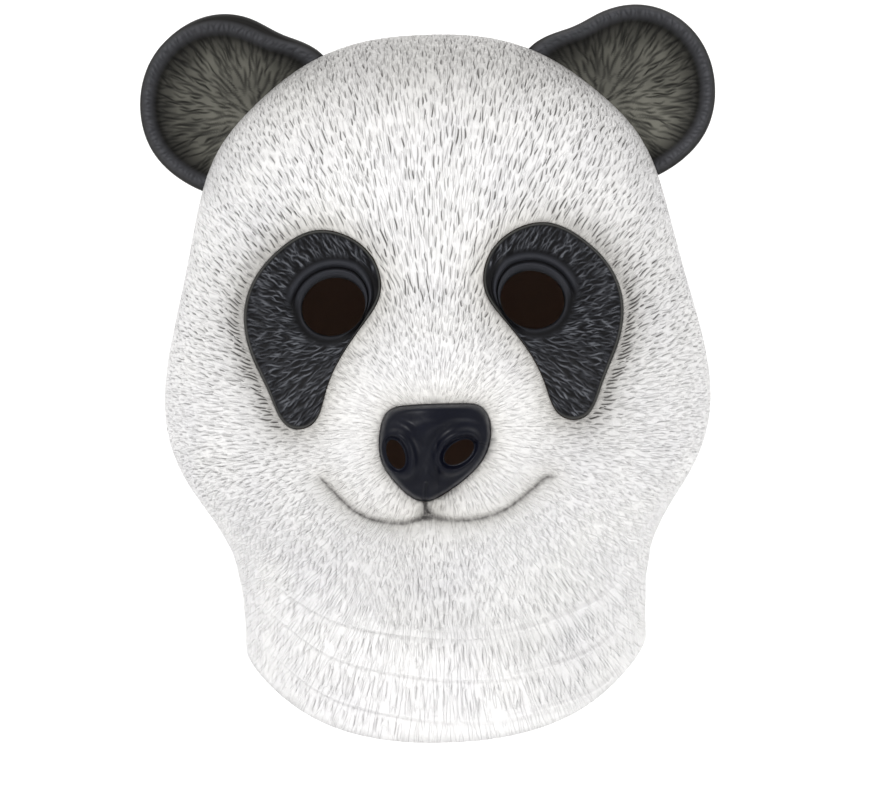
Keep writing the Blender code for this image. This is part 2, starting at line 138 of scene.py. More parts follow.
area_light("key_light", (-1.0, -1.3, 1.05), 0.5, 17)
area_light("fill_light", (1.3, -1.3, 0.3), 1.0, 9)
area_light("low_light", (0.2, -1.5, -0.75), 0.8, 8)
area_light("top_light", (0.1, 0.2, 1.5), 0.8, 1.2)
area_light("backdrop_light", (0, 0.7, 0.9), 1.6, 13, (0, 1.6, -0.1))

world = bpy.data.worlds.new("studio_air")
world.use_nodes = True
world.node_tree.nodes["Background"].inputs["Color"].default_value = (1.0, 0.99, 0.98, 1)
world.node_tree.nodes["Background"].inputs["Strength"].default_value = 0.57
bpy.context.scene.world = world
bpy.context.scene.view_settings.view_transform = "Standard"
print("stage floor at", FLOOR_LEVEL)

# %% [markdown]
# The mask's sizes, in metres. Nearly all of them are the driving sizes that the frame was made
# from, so that the surfaces below land on the frame. Only the lean of the nose is added here,
# because the real sculpt isn't quite the same on both sides.

# %% Driving sizes
WALL = 2.0 * MM
GAP = 0.3 * MM
HEAD_HEIGHT = 323 * MM
HEAD_WIDTH = 256 * MM
FACE_DEPTH = 110 * MM
BACK_DEPTH = 114 * MM
MUZZLE_REACH = 53 * MM
SQUARENESS = 2.2
EYE_ACROSS = 44.0 * MM
EYE_DOWN = 126.2 * MM
EYE_WIDE = 28.5 * MM
EYE_TALL = 25.5 * MM
EYE_TILT = math.radians(-14)
LID_RISE = 3.0 * MM
LID_WIDTH = 7.0 * MM
PATCH_WIDE = 63.5 * MM
PATCH_TALL = 88.0 * MM
NOSE_DOWN = 191.2 * MM
NOSE_WIDE = 47.0 * MM
NOSE_TALL = 41.0 * MM
NOSE_RISE = 8.5 * MM
NOSE_LEAN = -6.0 * MM
MOUTH_WIDE = 98.5 * MM
SMILE_RISE = 18.0 * MM
PHILTRUM_LENGTH = 8.5 * MM
EAR_RADIUS = 40.5 * MM
EAR_ACROSS = 96.5 * MM
EAR_DOWN = 26.0 * MM
EAR_FRONT = -2.0 * MM
EAR_SWEEP = 0.21
EAR_CUP = 15.0 * MM
EAR_THICKNESS = 9.0 * MM
FOLD_DEPTH = 0.9 * MM
FOLD_BEHIND = 0.25

# %% [markdown]
# The tables hold the shape as shares of those sizes, so one size can change without redrawing
# the shape. They were read from the photograph like the stations of a boat's hull. Most are the
# frame's own. The nostrils, the run of the smile and the crease above it follow the photograph
# more closely than the frame does, and they differ a little from left to right.

# %% Tables of shares
# Level sections: height below the crown, half width, face depth and back depth.
SECTIONS = (
    (0.000, 0.000, 0.000, 0.000), (0.012, 0.290, 0.330, 0.320), (0.043, 0.470, 0.520, 0.500),
    (0.090, 0.625, 0.670, 0.650), (0.158, 0.775, 0.810, 0.800), (0.254, 0.862, 0.925, 0.940),
    (0.341, 0.912, 0.975, 1.000), (0.427, 0.966, 1.000, 1.000), (0.514, 1.000, 1.000, 0.970),
    (0.560, 0.995, 1.000, 0.940), (0.604, 0.966, 0.985, 0.915), (0.647, 0.912, 0.960, 0.880),
    (0.690, 0.840, 0.930, 0.840), (0.734, 0.780, 0.895, 0.800), (0.800, 0.742, 0.865, 0.765),
    (0.895, 0.734, 0.860, 0.760), (1.000, 0.734, 0.865, 0.760),
)
# The trimmed hem: direction from the face in degrees, and height below the crown.
HEM = (
    (-180, 0.930), (-135, 0.912), (-90, 0.880), (-57, 0.925), (-38, 0.965), (0, 1.000),
    (38, 0.965), (57, 0.925), (90, 0.880), (135, 0.912), (180, 0.930),
)
# Forms of the face: distance to the side, half width, level, half height and rise.
FACE_FORMS = {
    "muzzle": (0.00, 0.74, 0.595, 0.235, 1.00),
    "chin": (0.00, 0.36, 0.762, 0.125, 0.32),
    "jowl": (0.20, 0.27, 0.640, 0.110, 0.16),
    "bridge": (0.00, 0.22, 0.470, 0.160, 0.10),
    "socket": (0.36, 0.28, 0.400, 0.130, -0.12),
    "brow": (0.34, 0.35, 0.290, 0.100, 0.07),
    "cheek": (0.62, 0.40, 0.600, 0.200, 0.15),
}
FORM_FULLNESS = 1.4
FORM_FADE = 0.35
# Folds round the neck: height above the hem, and half width.
NECK_FOLDS = ((0.030, 0.020), (0.082, 0.028), (0.138, 0.030))
# The patch on the +X side, from the middle of the eye opening: outwards and upwards.
PATCH_OUTLINE = (
    (0.640, -0.015), (0.555, 0.165), (0.375, 0.300), (0.120, 0.385), (-0.125, 0.345),
    (-0.300, 0.215), (-0.325, 0.050), (-0.215, -0.085), (-0.060, -0.240), (0.060, -0.430),
    (0.170, -0.590), (0.300, -0.600), (0.455, -0.440), (0.590, -0.230),
)
EDGE_FOLLOWED = 0.7
# One side of the nose from its top to its bottom, and the nose's rings: size and rise.
NOSE_OUTLINE = (
    (0.00, 1.00), (0.45, 0.99), (0.84, 0.90), (1.00, 0.42), (0.88, -0.22), (0.60, -0.60),
    (0.29, -0.88), (0.00, -1.00),
)
NOSE_RINGS = ((1.00, 0.02), (0.96, 0.42), (0.86, 0.72), (0.68, 0.92), (0.40, 1.00), (0.0, 1.0))
# The nostrils: place of the middle, length, width, and tilt in degrees. The nose looks a little
# to the mask's own right, so they are not quite a pair.
NOSTRILS = {
    "left": (9.3 * MM, 0.0 * MM, 14.2 * MM, 8.4 * MM, 34),
    "right": (-17.4 * MM, 0.0 * MM, 12.8 * MM, 7.4 * MM, 108),
}
# The smile: distance to the side as a share of half its width, and height as a share of its rise.
SMILE = (
    (-1.010, 1.114), (-0.911, 0.821), (-0.763, 0.402), (-0.616, 0.178), (-0.466, 0.079),
    (-0.317, 0.051), (-0.160, 0.160), (-0.102, 0.203), (-0.013, 0.144), (0.133, 0.084),
    (0.280, 0.091), (0.437, 0.164), (0.588, 0.309), (0.740, 0.602), (0.866, 0.872),
    (0.943, 1.016), (1.011, 1.016),
)
# How far the smile's zero height lies under the crease above it, as a share of its rise
SMILE_SAG = 0.085
# The crease from the tip of the nose down to the smile: distance to the side and height, in
# millimetres.
PHILTRUM = ((-6.0, -212.4), (-5.6, -215.2), (-5.0, -217.4))
# The ear: direction in degrees from outwards, and reach.
EAR_OUTLINE = (
    (0, 0.990), (45, 1.020), (80, 1.010), (112, 0.970), (135, 1.030), (156, 1.280),
    (185, 1.340), (230, 1.250), (266, 1.100), (300, 1.005), (330, 0.995),
)
# A cut through the ear, from its cup over the rim to its back: reach, cup and thickness.
EAR_CUT = (
    (0.00, 1.00, 0.00), (0.42, 0.88, 0.00), (0.70, 0.52, 0.00), (0.86, 0.12, 0.00),
    (0.93, 0.00, 0.00), (0.985, 0.03, 0.18), (1.00, 0.08, 0.52), (0.96, 0.16, 0.88),
    (0.86, 0.34, 1.02), (0.62, 0.68, 1.08), (0.00, 1.00, 1.12),
)
print("sections:", len(SECTIONS), "forms of the face:", len(FACE_FORMS))

# %% [markdown]
# Curves. A natural cubic spline turns each short table into a smooth line, the way a bent strip
# of wood passes through pins. A closed outline repeats its corners before and after itself, so
# the curve meets itself without a corner.

# %% Curves through the tables


def spline(stations, values, where):
    """Natural cubic spline through a row of values for each station, read at the places given."""
    stations, values = np.asarray(stations, float), np.asarray(values, float)
    gap = np.diff(stations)
    system = np.eye(len(stations))
    bend = np.zeros(values.shape)
    for i in range(1, len(stations) - 1):
        system[i, i - 1 : i + 2] = gap[i - 1], 2 * (gap[i - 1] + gap[i]), gap[i]
        rise_after = (values[i + 1] - values[i]) / gap[i]
        rise_before = (values[i] - values[i - 1]) / gap[i - 1]
        bend[i] = 6 * (rise_after - rise_before)
    bend = np.linalg.solve(system, bend)
    where = np.asarray(where, float)
    k = np.clip(np.searchsorted(stations, where) - 1, 0, len(gap) - 1)
    span = gap[k]
    before = (stations[k + 1] - where) / span
    after = 1 - before
    if values.ndim > 1:
        before, after, span = before[..., None], after[..., None], span[..., None]
    curved = (before**3 - before) * bend[k] + (after**3 - after) * bend[k + 1]
    return before * values[k] + after * values[k + 1] + curved * span**2 / 6


def running_length(points):
    """Distance along a run of points, from the first."""
    return np.concatenate([[0], np.cumsum(np.linalg.norm(np.diff(points, axis=0), axis=1))])


def evenly(points, count, closed=False):
    """Evenly spaced points along a run of points."""
    if closed:
        points = np.concatenate([points, points[:1]])
    along = running_length(points)
    where = np.linspace(0, along[-1], count, endpoint=not closed)
    return np.stack([np.interp(where, along, column) for column in points.T], axis=1)


def closed_curve(corners, count):
    """Evenly spaced points on the smooth closed curve through the corners."""
    corners = np.asarray(corners, float)
    turns = np.concatenate([corners, corners, corners, corners[:1]])
    along = running_length(turns)
    turn = along[-1] / 3
    fine = spline(along, turns, np.linspace(turn, 2 * turn, 40 * len(corners)))
    return evenly(fine[:-1], count, closed=True)


def grown(outline, margin):
    """A closed outline moved outwards by a margin."""
    tangent = np.roll(outline, -1, axis=0) - np.roll(outline, 1, axis=0)
    normal = np.stack([tangent[:, 1], -tangent[:, 0]], axis=1)
    normal /= np.linalg.norm(normal, axis=1, keepdims=True)
    x, z = outline.T
    turning = np.sum(x * np.roll(z, -1) - np.roll(x, -1) * z)
    return outline + normal * margin * math.copysign(1, turning)


def bell(distance, fullness=1):
    """1 in the middle, falling smoothly to 0 at a distance of 1."""
    return np.cos(np.clip(distance, 0, 1) ** fullness * math.pi / 2) ** 2


def smooth(value, low, high):
    """0 below the low end, 1 above the high end, and a smooth slope between."""
    share = np.clip((value - low) / (high - low), 0, 1)
    return share**2 * (3 - 2 * share)


def patch_outline(side, count):
    corners = np.array(PATCH_OUTLINE) * (PATCH_WIDE, PATCH_TALL)
    return (closed_curve(corners, count) + (EYE_ACROSS, -EYE_DOWN)) * (side, 1)


def nose_outline(count):
    half = np.array(NOSE_OUTLINE)
    corners = np.concatenate([half, half[-2:0:-1] * (-1, 1)])
    lean = NOSE_LEAN * ((1 - corners[:, 1]) / 2) ** 2
    corners = corners * (NOSE_WIDE / 2, NOSE_TALL / 2)
    corners[:, 0] += lean
    return closed_curve(corners, count) + (0, -NOSE_DOWN)


def smile_line(count):
    low = NOSE_DOWN + NOSE_TALL / 2 + PHILTRUM_LENGTH + SMILE_SAG * SMILE_RISE
    points = np.array(SMILE) * (MOUTH_WIDE / 2, SMILE_RISE) - (0, low)
    along = running_length(points)
    return evenly(spline(along, points, np.linspace(0, along[-1], 400)), count)


print("patch outline runs", round(running_length(patch_outline(1, 200))[-1] / MM), "mm")

# %% [markdown]
# The head. Every point of the skin has two coordinates: the direction round the head, from the
# face, and the length along the skin from the crown. Level sections give the plain head, and
# bell-shaped forms push the muzzle, cheeks and chin out of it.

# %% Surface of the head


def read_skin_profile():
    rows = np.array(SECTIONS) * (HEAD_HEIGHT, HEAD_WIDTH / 2, FACE_DEPTH, BACK_DEPTH)
    over_the_crown = rows[:0:-1] * (1, -1, -1, -1)
    rows = np.concatenate([over_the_crown, rows])
    along = running_length(rows[:, :2])
    along -= along[len(SECTIONS) - 1]
    curve = spline(along, rows, np.linspace(0, along[-1], 400))
    curve[0] = 0
    return running_length(curve[:, :2]), curve


SKIN_LENGTH, SKIN_CURVE = read_skin_profile()


def face_relief(x, z):
    """How far the forms of the face rise from the level sections."""
    rise = 0
    for side, half_wide, level, half_tall, share in FACE_FORMS.values():
        across = (np.abs(x) / (HEAD_WIDTH / 2) - side) / half_wide
        along = ((WALL - z) / HEAD_HEIGHT - level) / half_tall
        rise = rise + MUZZLE_REACH * share * bell(np.hypot(across, along), FORM_FULLNESS)
    return rise


def face_y(x, z):
    """Depth of the skin's outer surface on the face."""
    wide, front = (np.interp(WALL - z, SKIN_CURVE[:, 0], SKIN_CURVE[:, k]) for k in (1, 2))
    across = np.clip(np.abs(x) / wide, 0, 1)
    share = (1 - across**SQUARENESS) ** (1 / SQUARENESS)
    return -front * share - face_relief(x, z) * smooth(share, 0, FORM_FADE)


def hem_down(turn):
    directions, shares = zip(*HEM)
    return HEAD_HEIGHT * spline(directions, shares, np.degrees(turn))


def fold_rise(turn, above_hem):
    waves = sum(bell(np.abs(above_hem / HEAD_HEIGHT - level) / half) for level, half in NECK_FOLDS)
    return -FOLD_DEPTH * waves * (FOLD_BEHIND + (1 - FOLD_BEHIND) * np.maximum(0, np.cos(turn)))


def skin_xyz(turn, length):
    """Points of the skin's outer surface."""
    down, wide, front, back = (np.interp(length, SKIN_LENGTH, SKIN_CURVE[:, k]) for k in range(4))
    fold = fold_rise(turn, hem_down(turn) - down)
    side, ahead = np.sin(turn), np.cos(turn)
    x = np.sign(side) * np.abs(side) ** (2 / SQUARENESS) * (wide + fold)
    share = np.abs(ahead) ** (2 / SQUARENESS)
    z = WALL - down
    face = -share * (front + fold) - face_relief(x, z) * smooth(share, 0, FORM_FADE)
    return np.stack([x, np.where(ahead > 0, face, share * (back + fold)), z], axis=-1)


def skin_slopes(turn, length):
    """How a point of the skin moves with its two coordinates, and the direction out of the skin."""
    small_turn, small_length = 0.004, 0.5 * MM
    by_turn = skin_xyz(turn + small_turn, length) - skin_xyz(turn - small_turn, length)
    shorter = np.maximum(length - small_length, 0)
    by_length = skin_xyz(turn, length + small_length) - skin_xyz(turn, shorter)
    by_turn = by_turn / (2 * small_turn)
    by_length = by_length / (length + small_length - shorter)[..., None]
    out = np.cross(by_length, by_turn)
    out /= np.maximum(np.linalg.norm(out, axis=-1, keepdims=True), 1e-12)
    return by_turn, by_length, out


def on_face(x, z):
    """The skin's coordinates of points seen from the front."""
    wide = np.interp(WALL - z, SKIN_CURVE[:, 0], SKIN_CURVE[:, 1])
    turn = np.arcsin(np.clip(np.abs(x) / wide, 0, 1) ** (SQUARENESS / 2)) * np.sign(x)
    return turn, np.interp(WALL - z, SKIN_CURVE[:, 0], SKIN_LENGTH)


print("from crown to hem the skin is", round(SKIN_LENGTH[-1] / MM), "mm long")

# %% [markdown]
# Cutting thousands of dashes into a sphere-like skin could be done with Booleans or with a very
# fine grid, but both waste faces. Instead the skin is laid flat on a chart, the dashes are drawn
# on it as small outlines, and Delaunay triangulation fills in the skin around them. The chart is
# like a polar map from the crown, stretched so that small shapes keep their form.

# %% Chart of the head


def read_chart():
    """The chart's radius for each length along the skin."""
    mean_radius = (2 * SKIN_CURVE[:, 1] + SKIN_CURVE[:, 2] + SKIN_CURVE[:, 3]) / 4
    steps = np.diff(SKIN_LENGTH)
    middle = (mean_radius[1:] + mean_radius[:-1]) / 2
    radius = np.exp(np.concatenate([[0], np.cumsum(steps / middle)]))
    radius = radius * SKIN_LENGTH[1] / radius[1]
    radius[0] = 0
    return radius


CHART_RADIUS = read_chart()


def to_chart(turn, length):
    radius = np.interp(length, SKIN_LENGTH, CHART_RADIUS)
    return np.stack([radius * np.sin(turn), -radius * np.cos(turn)], axis=-1)


def from_chart(spot):
    radius = np.hypot(spot[..., 0], spot[..., 1])
    return np.arctan2(spot[..., 0], -spot[..., 1]), np.interp(radius, CHART_RADIUS, SKIN_LENGTH)


def inside(loop, spots):
    """Which spots lie inside a closed loop of points."""
    within = np.zeros(len(spots), bool)
    x, y = spots.T
    for (x0, y0), (x1, y1) in zip(loop, np.roll(loop, -1, axis=0)):
        if y0 == y1:
            continue
        crosses = (y0 > y) != (y1 > y)
        within ^= crosses & (x < (x1 - x0) * (y - y0) / (y1 - y0) + x0)
    return within


def distance_to(line, x, z, closed=True):
    """Distance of points from a line of short segments, seen from the front."""
    spots = np.stack([x, z], axis=-1)
    best = np.full(x.shape, 1.0)
    pairs = zip(line, np.roll(line, -1, axis=0)) if closed else zip(line[:-1], line[1:])
    for start, end in pairs:
        run = end - start
        share = np.clip((spots - start) @ run / (run @ run), 0, 1)
        best = np.minimum(best, np.hypot(*(spots - start - share[..., None] * run).T))
    return best


def triangulate(spots, edges):
    """Delaunay triangles over the spots, and the input that each corner came from, or -1."""
    found = delaunay_2d_cdt([Vector(spot) for spot in spots], edges, [], 0, 1e-7, True)
    corners = np.array([tuple(v) for v in found[0]])
    source = np.array([ids[0] if ids else -1 for ids in found[3]])
    return corners, np.array(found[2]), source


print("chart radius at the hem:", round(CHART_RADIUS[-1], 3))

# %% [markdown]
# The ear is a cupped pouch that is swept round its own middle. Here it is first described as a
# test: how far out a point lies, and where the ear's front and back are at that reach. The skin
# needs this to leave a slot where the ear's hollow opens into the head.

# %% Shape of the ear


def ear_reach(turn):
    """Reach of the ear's outline in a direction, as a share of its radius."""
    directions, shares = zip(*EAR_OUTLINE)
    directions = np.array([d + lap for lap in (0, 360, 720) for d in directions])
    return spline(directions, np.array(shares * 3), 360 + np.degrees(turn) % 360)


def ear_section(reach):
    """Depths of the ear's front and back at a reach, as a share of its outline."""
    cut = np.array(EAR_CUT)
    depth = cut[:, 1] * EAR_CUP + cut[:, 2] * EAR_THICKNESS
    rim = int(np.argmax(cut[:, 0]))
    front = np.interp(reach, cut[: rim + 1, 0], depth[: rim + 1])
    return front, np.interp(reach, cut[: rim - 1 : -1, 0], depth[: rim - 1 : -1])


def within_ear(points, margin):
    """Which points lie in an ear that is grown by a margin."""
    across = np.abs(points[..., 0]) - EAR_ACROSS
    rise = points[..., 2] + EAR_DOWN
    turn = np.arctan2(rise, across)
    reach = np.hypot(across, rise) - margin
    share = np.clip(reach / (EAR_RADIUS * ear_reach(turn)), 0, 2)
    front, back = ear_section(share)
    depth = points[..., 1] - EAR_FRONT - EAR_SWEEP * across
    return (share < 1) & (depth > front - margin) & (depth < back + margin)


# Where the slots are looked for: lengths along the skin, and directions round the head
SLOT_LENGTHS = (20 * MM, 160 * MM)
SLOT_TURNS = (math.radians(30), math.radians(150))


def ear_slot(side, count):
    """Chart outline of the slot where the ear's hollow opens into the head."""
    lengths = np.linspace(*SLOT_LENGTHS, 8 * count)
    turns = np.linspace(*SLOT_TURNS, 600)
    first, last = [], []
    for length in lengths:
        points = skin_xyz(turns, np.full(turns.shape, length))
        hit = turns[within_ear(points, -WALL)]
        if len(hit) and hit[-1] - hit[0] > math.radians(1):
            first.append(to_chart(hit[0], length))
            last.append(to_chart(hit[-1], length))
    loop = evenly(np.array(first + last[::-1]), 2 * count, closed=True)
    return loop * (side, 1)


slots = {side: ear_slot(side, 36) for side in (1, -1)}
print("slot under an ear:", len(slots[1]), "points")

# %% [markdown]
# The fur grows away from the nose over the whole face, turns down on the lower cheeks, and hangs
# down the back of the head. One field of directions gives all of that: a push away from the
# nose, plus a pull downwards that grows below the mouth and behind the ears.

# %% Direction and size of the fur
FUR_START = np.array([0.0, -160.0, -183.0]) * MM
# The downward pull: its strength, and where it begins and is full, in metres below or behind.
CHEEK_PULL = (0.75, 0.185, 0.245)
BACK_PULL = (1.3, -0.03, 0.09)
NECK_PULL = (2.5, 0.245, 0.285)
# Sizes of the dashes in millimetres: in the open, and what is added near the nose, low on the
# face and behind the ears.
FUR_LONG = (9.6, -5.2, 1.4, 1.5)
FUR_WIDE = (0.95, -0.28, 0.15, 0.55)
FUR_SPACING = (1.45, -0.32, 0.30, 2.15)
FUR_SINK = (0.90, -0.35, 0.1, 0.0)
# Darkness of their paint on the forehead, and what is taken away near the nose, below the eyes
# and behind the ears.
FUR_DARK = (1.05, 0.20, 0.80, 0.1)


def pull_down(distance, strength, start, full):
    return strength * smooth(distance, start, full)


def fur_flow(points, out):
    """Direction of the fur along the skin at points."""
    away = points - FUR_START
    away = away / np.linalg.norm(away, axis=-1, keepdims=True)
    below, behind = -points[..., 2], points[..., 1]
    pull = pull_down(below, *CHEEK_PULL) + pull_down(behind, *BACK_PULL)
    pull = pull + pull_down(below, *NECK_PULL)
    flow = away - pull[..., None] * upright
    flow = flow - np.sum(flow * out, axis=-1, keepdims=True) * out
    return flow / np.linalg.norm(flow, axis=-1, keepdims=True)


def fur_size(points):
    """Length, width, spacing, depth and darkness of the dashes at each point."""
    x, y, z = points.T
    nose = np.hypot(x / 1.15, z + NOSE_DOWN)
    near_nose = 1 - smooth(nose, 26 * MM, 66 * MM)
    low = smooth(-z, 0.18, 0.24)
    behind = smooth(y, -0.02, 0.05)
    sizes = [(open_fur + by_nose * near_nose + by_low * low + by_back * behind) * MM
             for open_fur, by_nose, by_low, by_back in (FUR_LONG, FUR_WIDE, FUR_SPACING, FUR_SINK)]
    pale = smooth(-z, 0.12, 0.18)
    full, by_nose, by_pale, by_back = FUR_DARK
    dark = full - by_nose * near_nose - by_pale * pale - by_back * behind
    return np.stack([*sizes, dark], axis=-1)


# Bare skin without fur: round the windows, on the two lips, beside the crease and above the hem.
EDGE_MARGIN = 0.8 * MM
LIP_BAND = 7.5 * MM
UPPER_LIP_BAND = 2.6 * MM
PHILTRUM_BAND = 1.8 * MM
HEM_MARGIN = 2 * MM
# Bands round the neck: height above the hem on the midline, and how much lower they run to the
# mask's own left, for each degree round the head.
NECK_BANDS = ((10.0 * MM, 0.13 * MM), (28.5 * MM, 0.14 * MM), (47.0 * MM, 0.08 * MM))
BAND_CLEAR = 1.9 * MM
BAND_REACH = math.radians(62)
BAND_WAVE = 0.5 * MM
patches = {side: patch_outline(side, 150) for side in (1, -1)}
nose_edge = nose_outline(110)
smile = smile_line(220)
philtrum = evenly(np.array(PHILTRUM) * MM, 14)


def band_height(turn, level, slope):
    """Height of a neck band above the hem, with a slight wave."""
    wave = BAND_WAVE * np.sin(turn * 9 + level / MM)
    return level - slope * np.degrees(np.clip(turn, -0.8, 0.8)) + wave


def below_smile(x, z):
    """Which places seen from the front lie below the smile."""
    return z < np.interp(x, smile[:, 0], smile[:, 1])


def open_skin(points, turn):
    """Which points of the skin may carry fur: off the windows, the lips, the ears and the hem."""
    x, y, z = points.T
    front = y < 0
    above_hem = hem_down(turn) - (WALL - z)
    free = above_hem > HEM_MARGIN
    for level, slope in NECK_BANDS:
        on_band = np.abs(above_hem - band_height(turn, level, slope)) < BAND_CLEAR
        free &= ~(on_band & (np.abs(turn) < BAND_REACH))
    free &= ~within_ear(points, EDGE_MARGIN)
    for loop in (*patches.values(), nose_edge):
        near = front & (distance_to(loop, x, z) < EDGE_MARGIN)
        free &= ~near & ~(front & inside(loop, np.stack([x, z], axis=-1)))
    band = np.where(below_smile(x, z), LIP_BAND, UPPER_LIP_BAND)
    free &= ~(front & (distance_to(smile[::5], x, z, closed=False) < band))
    free &= ~(front & (distance_to(philtrum[::4], x, z, closed=False) < PHILTRUM_BAND))
    return free


print("fur starts at", np.round(FUR_START, 3))

# %% [markdown]
# Dashes are strewn like fur in a mould: at random, but never too close. Each new dash is kept
# only if no earlier one lies inside a stretched circle around it, long along the fur and narrow
# across it. The long strokes at the patches' outer edges are laid first, so the others make
# room for them. A fixed seed makes every run the same.

# %% Strew the dashes
CANDIDATES = 260000
FRINGE_TOP = 120 * MM
FRINGE_LONG = (7, 14)
FRINGE_WIDE = 1.15 * MM
FRINGE_SPACING = 1.2 * MM
FRINGE_DARK = 1.2
# How far apart two dashes in one line stay, beyond their length
TIP_GAP = 0.6 * MM
# Shares of a dash's length at which it has to lie on open skin, besides its middle
DASH_TESTS = (-0.5, 0.5, -0.25, 0.25)
NEIGHBOUR_CELLS = [(a, b, c) for a in (-1, 0, 1) for b in (-1, 0, 1) for c in (-1, 0, 1)]


def strew(seed):
    """Place, size and direction of all the dashes, and the random numbers to go on with."""
    rng = np.random.default_rng(seed)
    turn = rng.uniform(-math.pi, math.pi, CANDIDATES)
    length = rng.uniform(6 * MM, SKIN_LENGTH[-1], CANDIDATES)
    by_turn, by_length, out = skin_slopes(turn, length)
    area = np.linalg.norm(np.cross(by_turn, by_length), axis=1)
    keep = rng.uniform(0, np.quantile(area, 0.995), CANDIDATES) < area
    turn, length, out = turn[keep], length[keep], out[keep]
    points = skin_xyz(turn, length)
    flow = fur_flow(points, out)
    size = fur_size(points)
    size[:, 0] *= rng.uniform(0.5, 1.35, len(size))
    size[:, 1] *= rng.uniform(0.75, 1.25, len(size))
    size[:, 4] *= 0.3 + 0.9 * rng.uniform(0, 1, len(size)) ** 1.3
    fringe_turn, fringe_length, fringe_size = patch_fringe(rng)
    turn, length = np.append(fringe_turn, turn), np.append(fringe_length, length)
    size = np.concatenate([fringe_size, size])
    points, (_, _, out) = skin_xyz(turn, length), skin_slopes(turn, length)
    flow = fur_flow(points, out)
    free = open_skin(points, turn)
    for share in DASH_TESTS:
        left = np.flatnonzero(free)
        free[left] = open_skin(points[left] + flow[left] * size[left, :1] * share, turn[left])
    kept = thin_out(points[free], flow[free], size[free])
    chosen = np.flatnonzero(free)[kept]
    return turn[chosen], length[chosen], size[chosen], flow[chosen], rng


def patch_fringe(rng):
    """Long dark strokes that start at the patches' outer edges."""
    turns, lengths, sizes = [], [], []
    for side, loop in patches.items():
        x, z = evenly(loop, 130, closed=True).T
        outer = (side * x > 50 * MM) & (z < -FRINGE_TOP) & (side * x - z > 205 * MM)
        start = np.stack([x, z], axis=1)[outer]
        long = rng.uniform(*FRINGE_LONG, len(start)) * MM
        away = start - FUR_START[[0, 2]]
        away /= np.linalg.norm(away, axis=1, keepdims=True)
        spots = start + away * (long / 2 + 1.0 * MM)[:, None]
        turn, length = on_face(*spots.T)
        size = fur_size(skin_xyz(turn, length))
        size[:, 0] = long
        size[:, 1] = FRINGE_WIDE
        size[:, 2] = FRINGE_SPACING
        size[:, 4] = FRINGE_DARK
        turns.append(turn)
        lengths.append(length)
        sizes.append(size)
    return np.concatenate(turns), np.concatenate(lengths), np.concatenate(sizes)


def crowded(place, key, grid):
    """True if a kept point lies in the stretched circle round a place."""
    px, py, pz, fx, fy, fz, long, _, spacing = place
    reach = long + TIP_GAP
    for a, b, c in NEIGHBOUR_CELLS:
        for qx, qy, qz in grid.get((key[0] + a, key[1] + b, key[2] + c), ()):
            dx, dy, dz = qx - px, qy - py, qz - pz
            along = dx * fx + dy * fy + dz * fz
            across = dx * dx + dy * dy + dz * dz - along * along
            if (along / reach) ** 2 + across / spacing**2 < 1:
                return True
    return False


def thin_out(points, flow, size):
    """Indices of points that keep their distance from each other, along and across the flow."""
    cell = 10 * MM
    kept, grid = [], {}
    keys = np.floor(points / cell).astype(int)
    places = [tuple(map(float, row)) for row in np.hstack([points, flow, size[:, :3]])]
    for i, (place, key) in enumerate(zip(places, keys.tolist())):
        if not crowded(place, key, grid):
            kept.append(i)
            grid.setdefault(tuple(key), []).append(place[:3])
    return np.array(kept)


dash_turn, dash_length, dash_size, dash_flow, rng = strew(7)
print("dashes in the fur:", len(dash_turn))

# %% [markdown]
# A dash is drawn with eleven points: two tips, three points on either side, and three at its
# bottom. It bends like an S or a C, as a stroke of the modelling tool does. The points are laid
# along the fur's direction and brought back to the skin's own two coordinates, so they always
# lie on the skin. The bottom points are then sunk into it and the sides stand up a little.

# %% Draw the dashes on the chart
# One dash. Columns: share of its length, width, depth and darkness.
DASH = np.array([
    (-0.50, 0.00, 0.00, 0.10), (-0.27, 0.50, -0.16, 0.10), (0.00, 0.50, -0.20, 0.12),
    (0.27, 0.50, -0.16, 0.10), (0.50, 0.00, 0.00, 0.10), (0.27, -0.50, -0.16, 0.10),
    (0.00, -0.50, -0.20, 0.12), (-0.27, -0.50, -0.16, 0.10), (-0.31, 0.00, 0.85, 0.92),
    (-0.02, 0.00, 1.00, 1.00), (0.29, 0.00, 0.80, 0.85),
])
DASH_EDGES = (
    (0, 1), (1, 2), (2, 3), (3, 4), (4, 5), (5, 6), (6, 7), (7, 0), (0, 8), (8, 9), (9, 10), (10, 4),
)
# The most that a dash bends like a C and like an S, as shares of its length
CURL = 0.07
WAVE = 0.055
# The darkest paint of a dash, and the most that is added at the patches' outer edges
DARKEST = 1.25
DARKER_AT_PATCH = 0.7


def lay_on_skin(turn, length, offset):
    """The skin's coordinates after a small step along the skin."""
    by_turn, by_length, _ = skin_slopes(turn, length)
    tt = np.sum(by_turn * by_turn, axis=-1)
    tl = np.sum(by_turn * by_length, axis=-1)
    ll = np.sum(by_length * by_length, axis=-1)
    t = np.sum(by_turn * offset, axis=-1)
    u = np.sum(by_length * offset, axis=-1)
    det = tt * ll - tl * tl
    return turn + (ll * t - tl * u) / det, length + (tt * u - tl * t) / det


def near_ear(points):
    """1 where an ear stands on the head, fading over the skin in front of it and behind it."""
    across = np.abs(points[..., 0]) - EAR_ACROSS
    rise = points[..., 2] + EAR_DOWN
    beyond = np.hypot(across, rise) - EAR_RADIUS * ear_reach(np.arctan2(rise, across))
    return (1 - smooth(beyond, -3 * MM, 7 * MM)) * mist(np.abs(points[..., 1]), 27 * MM)


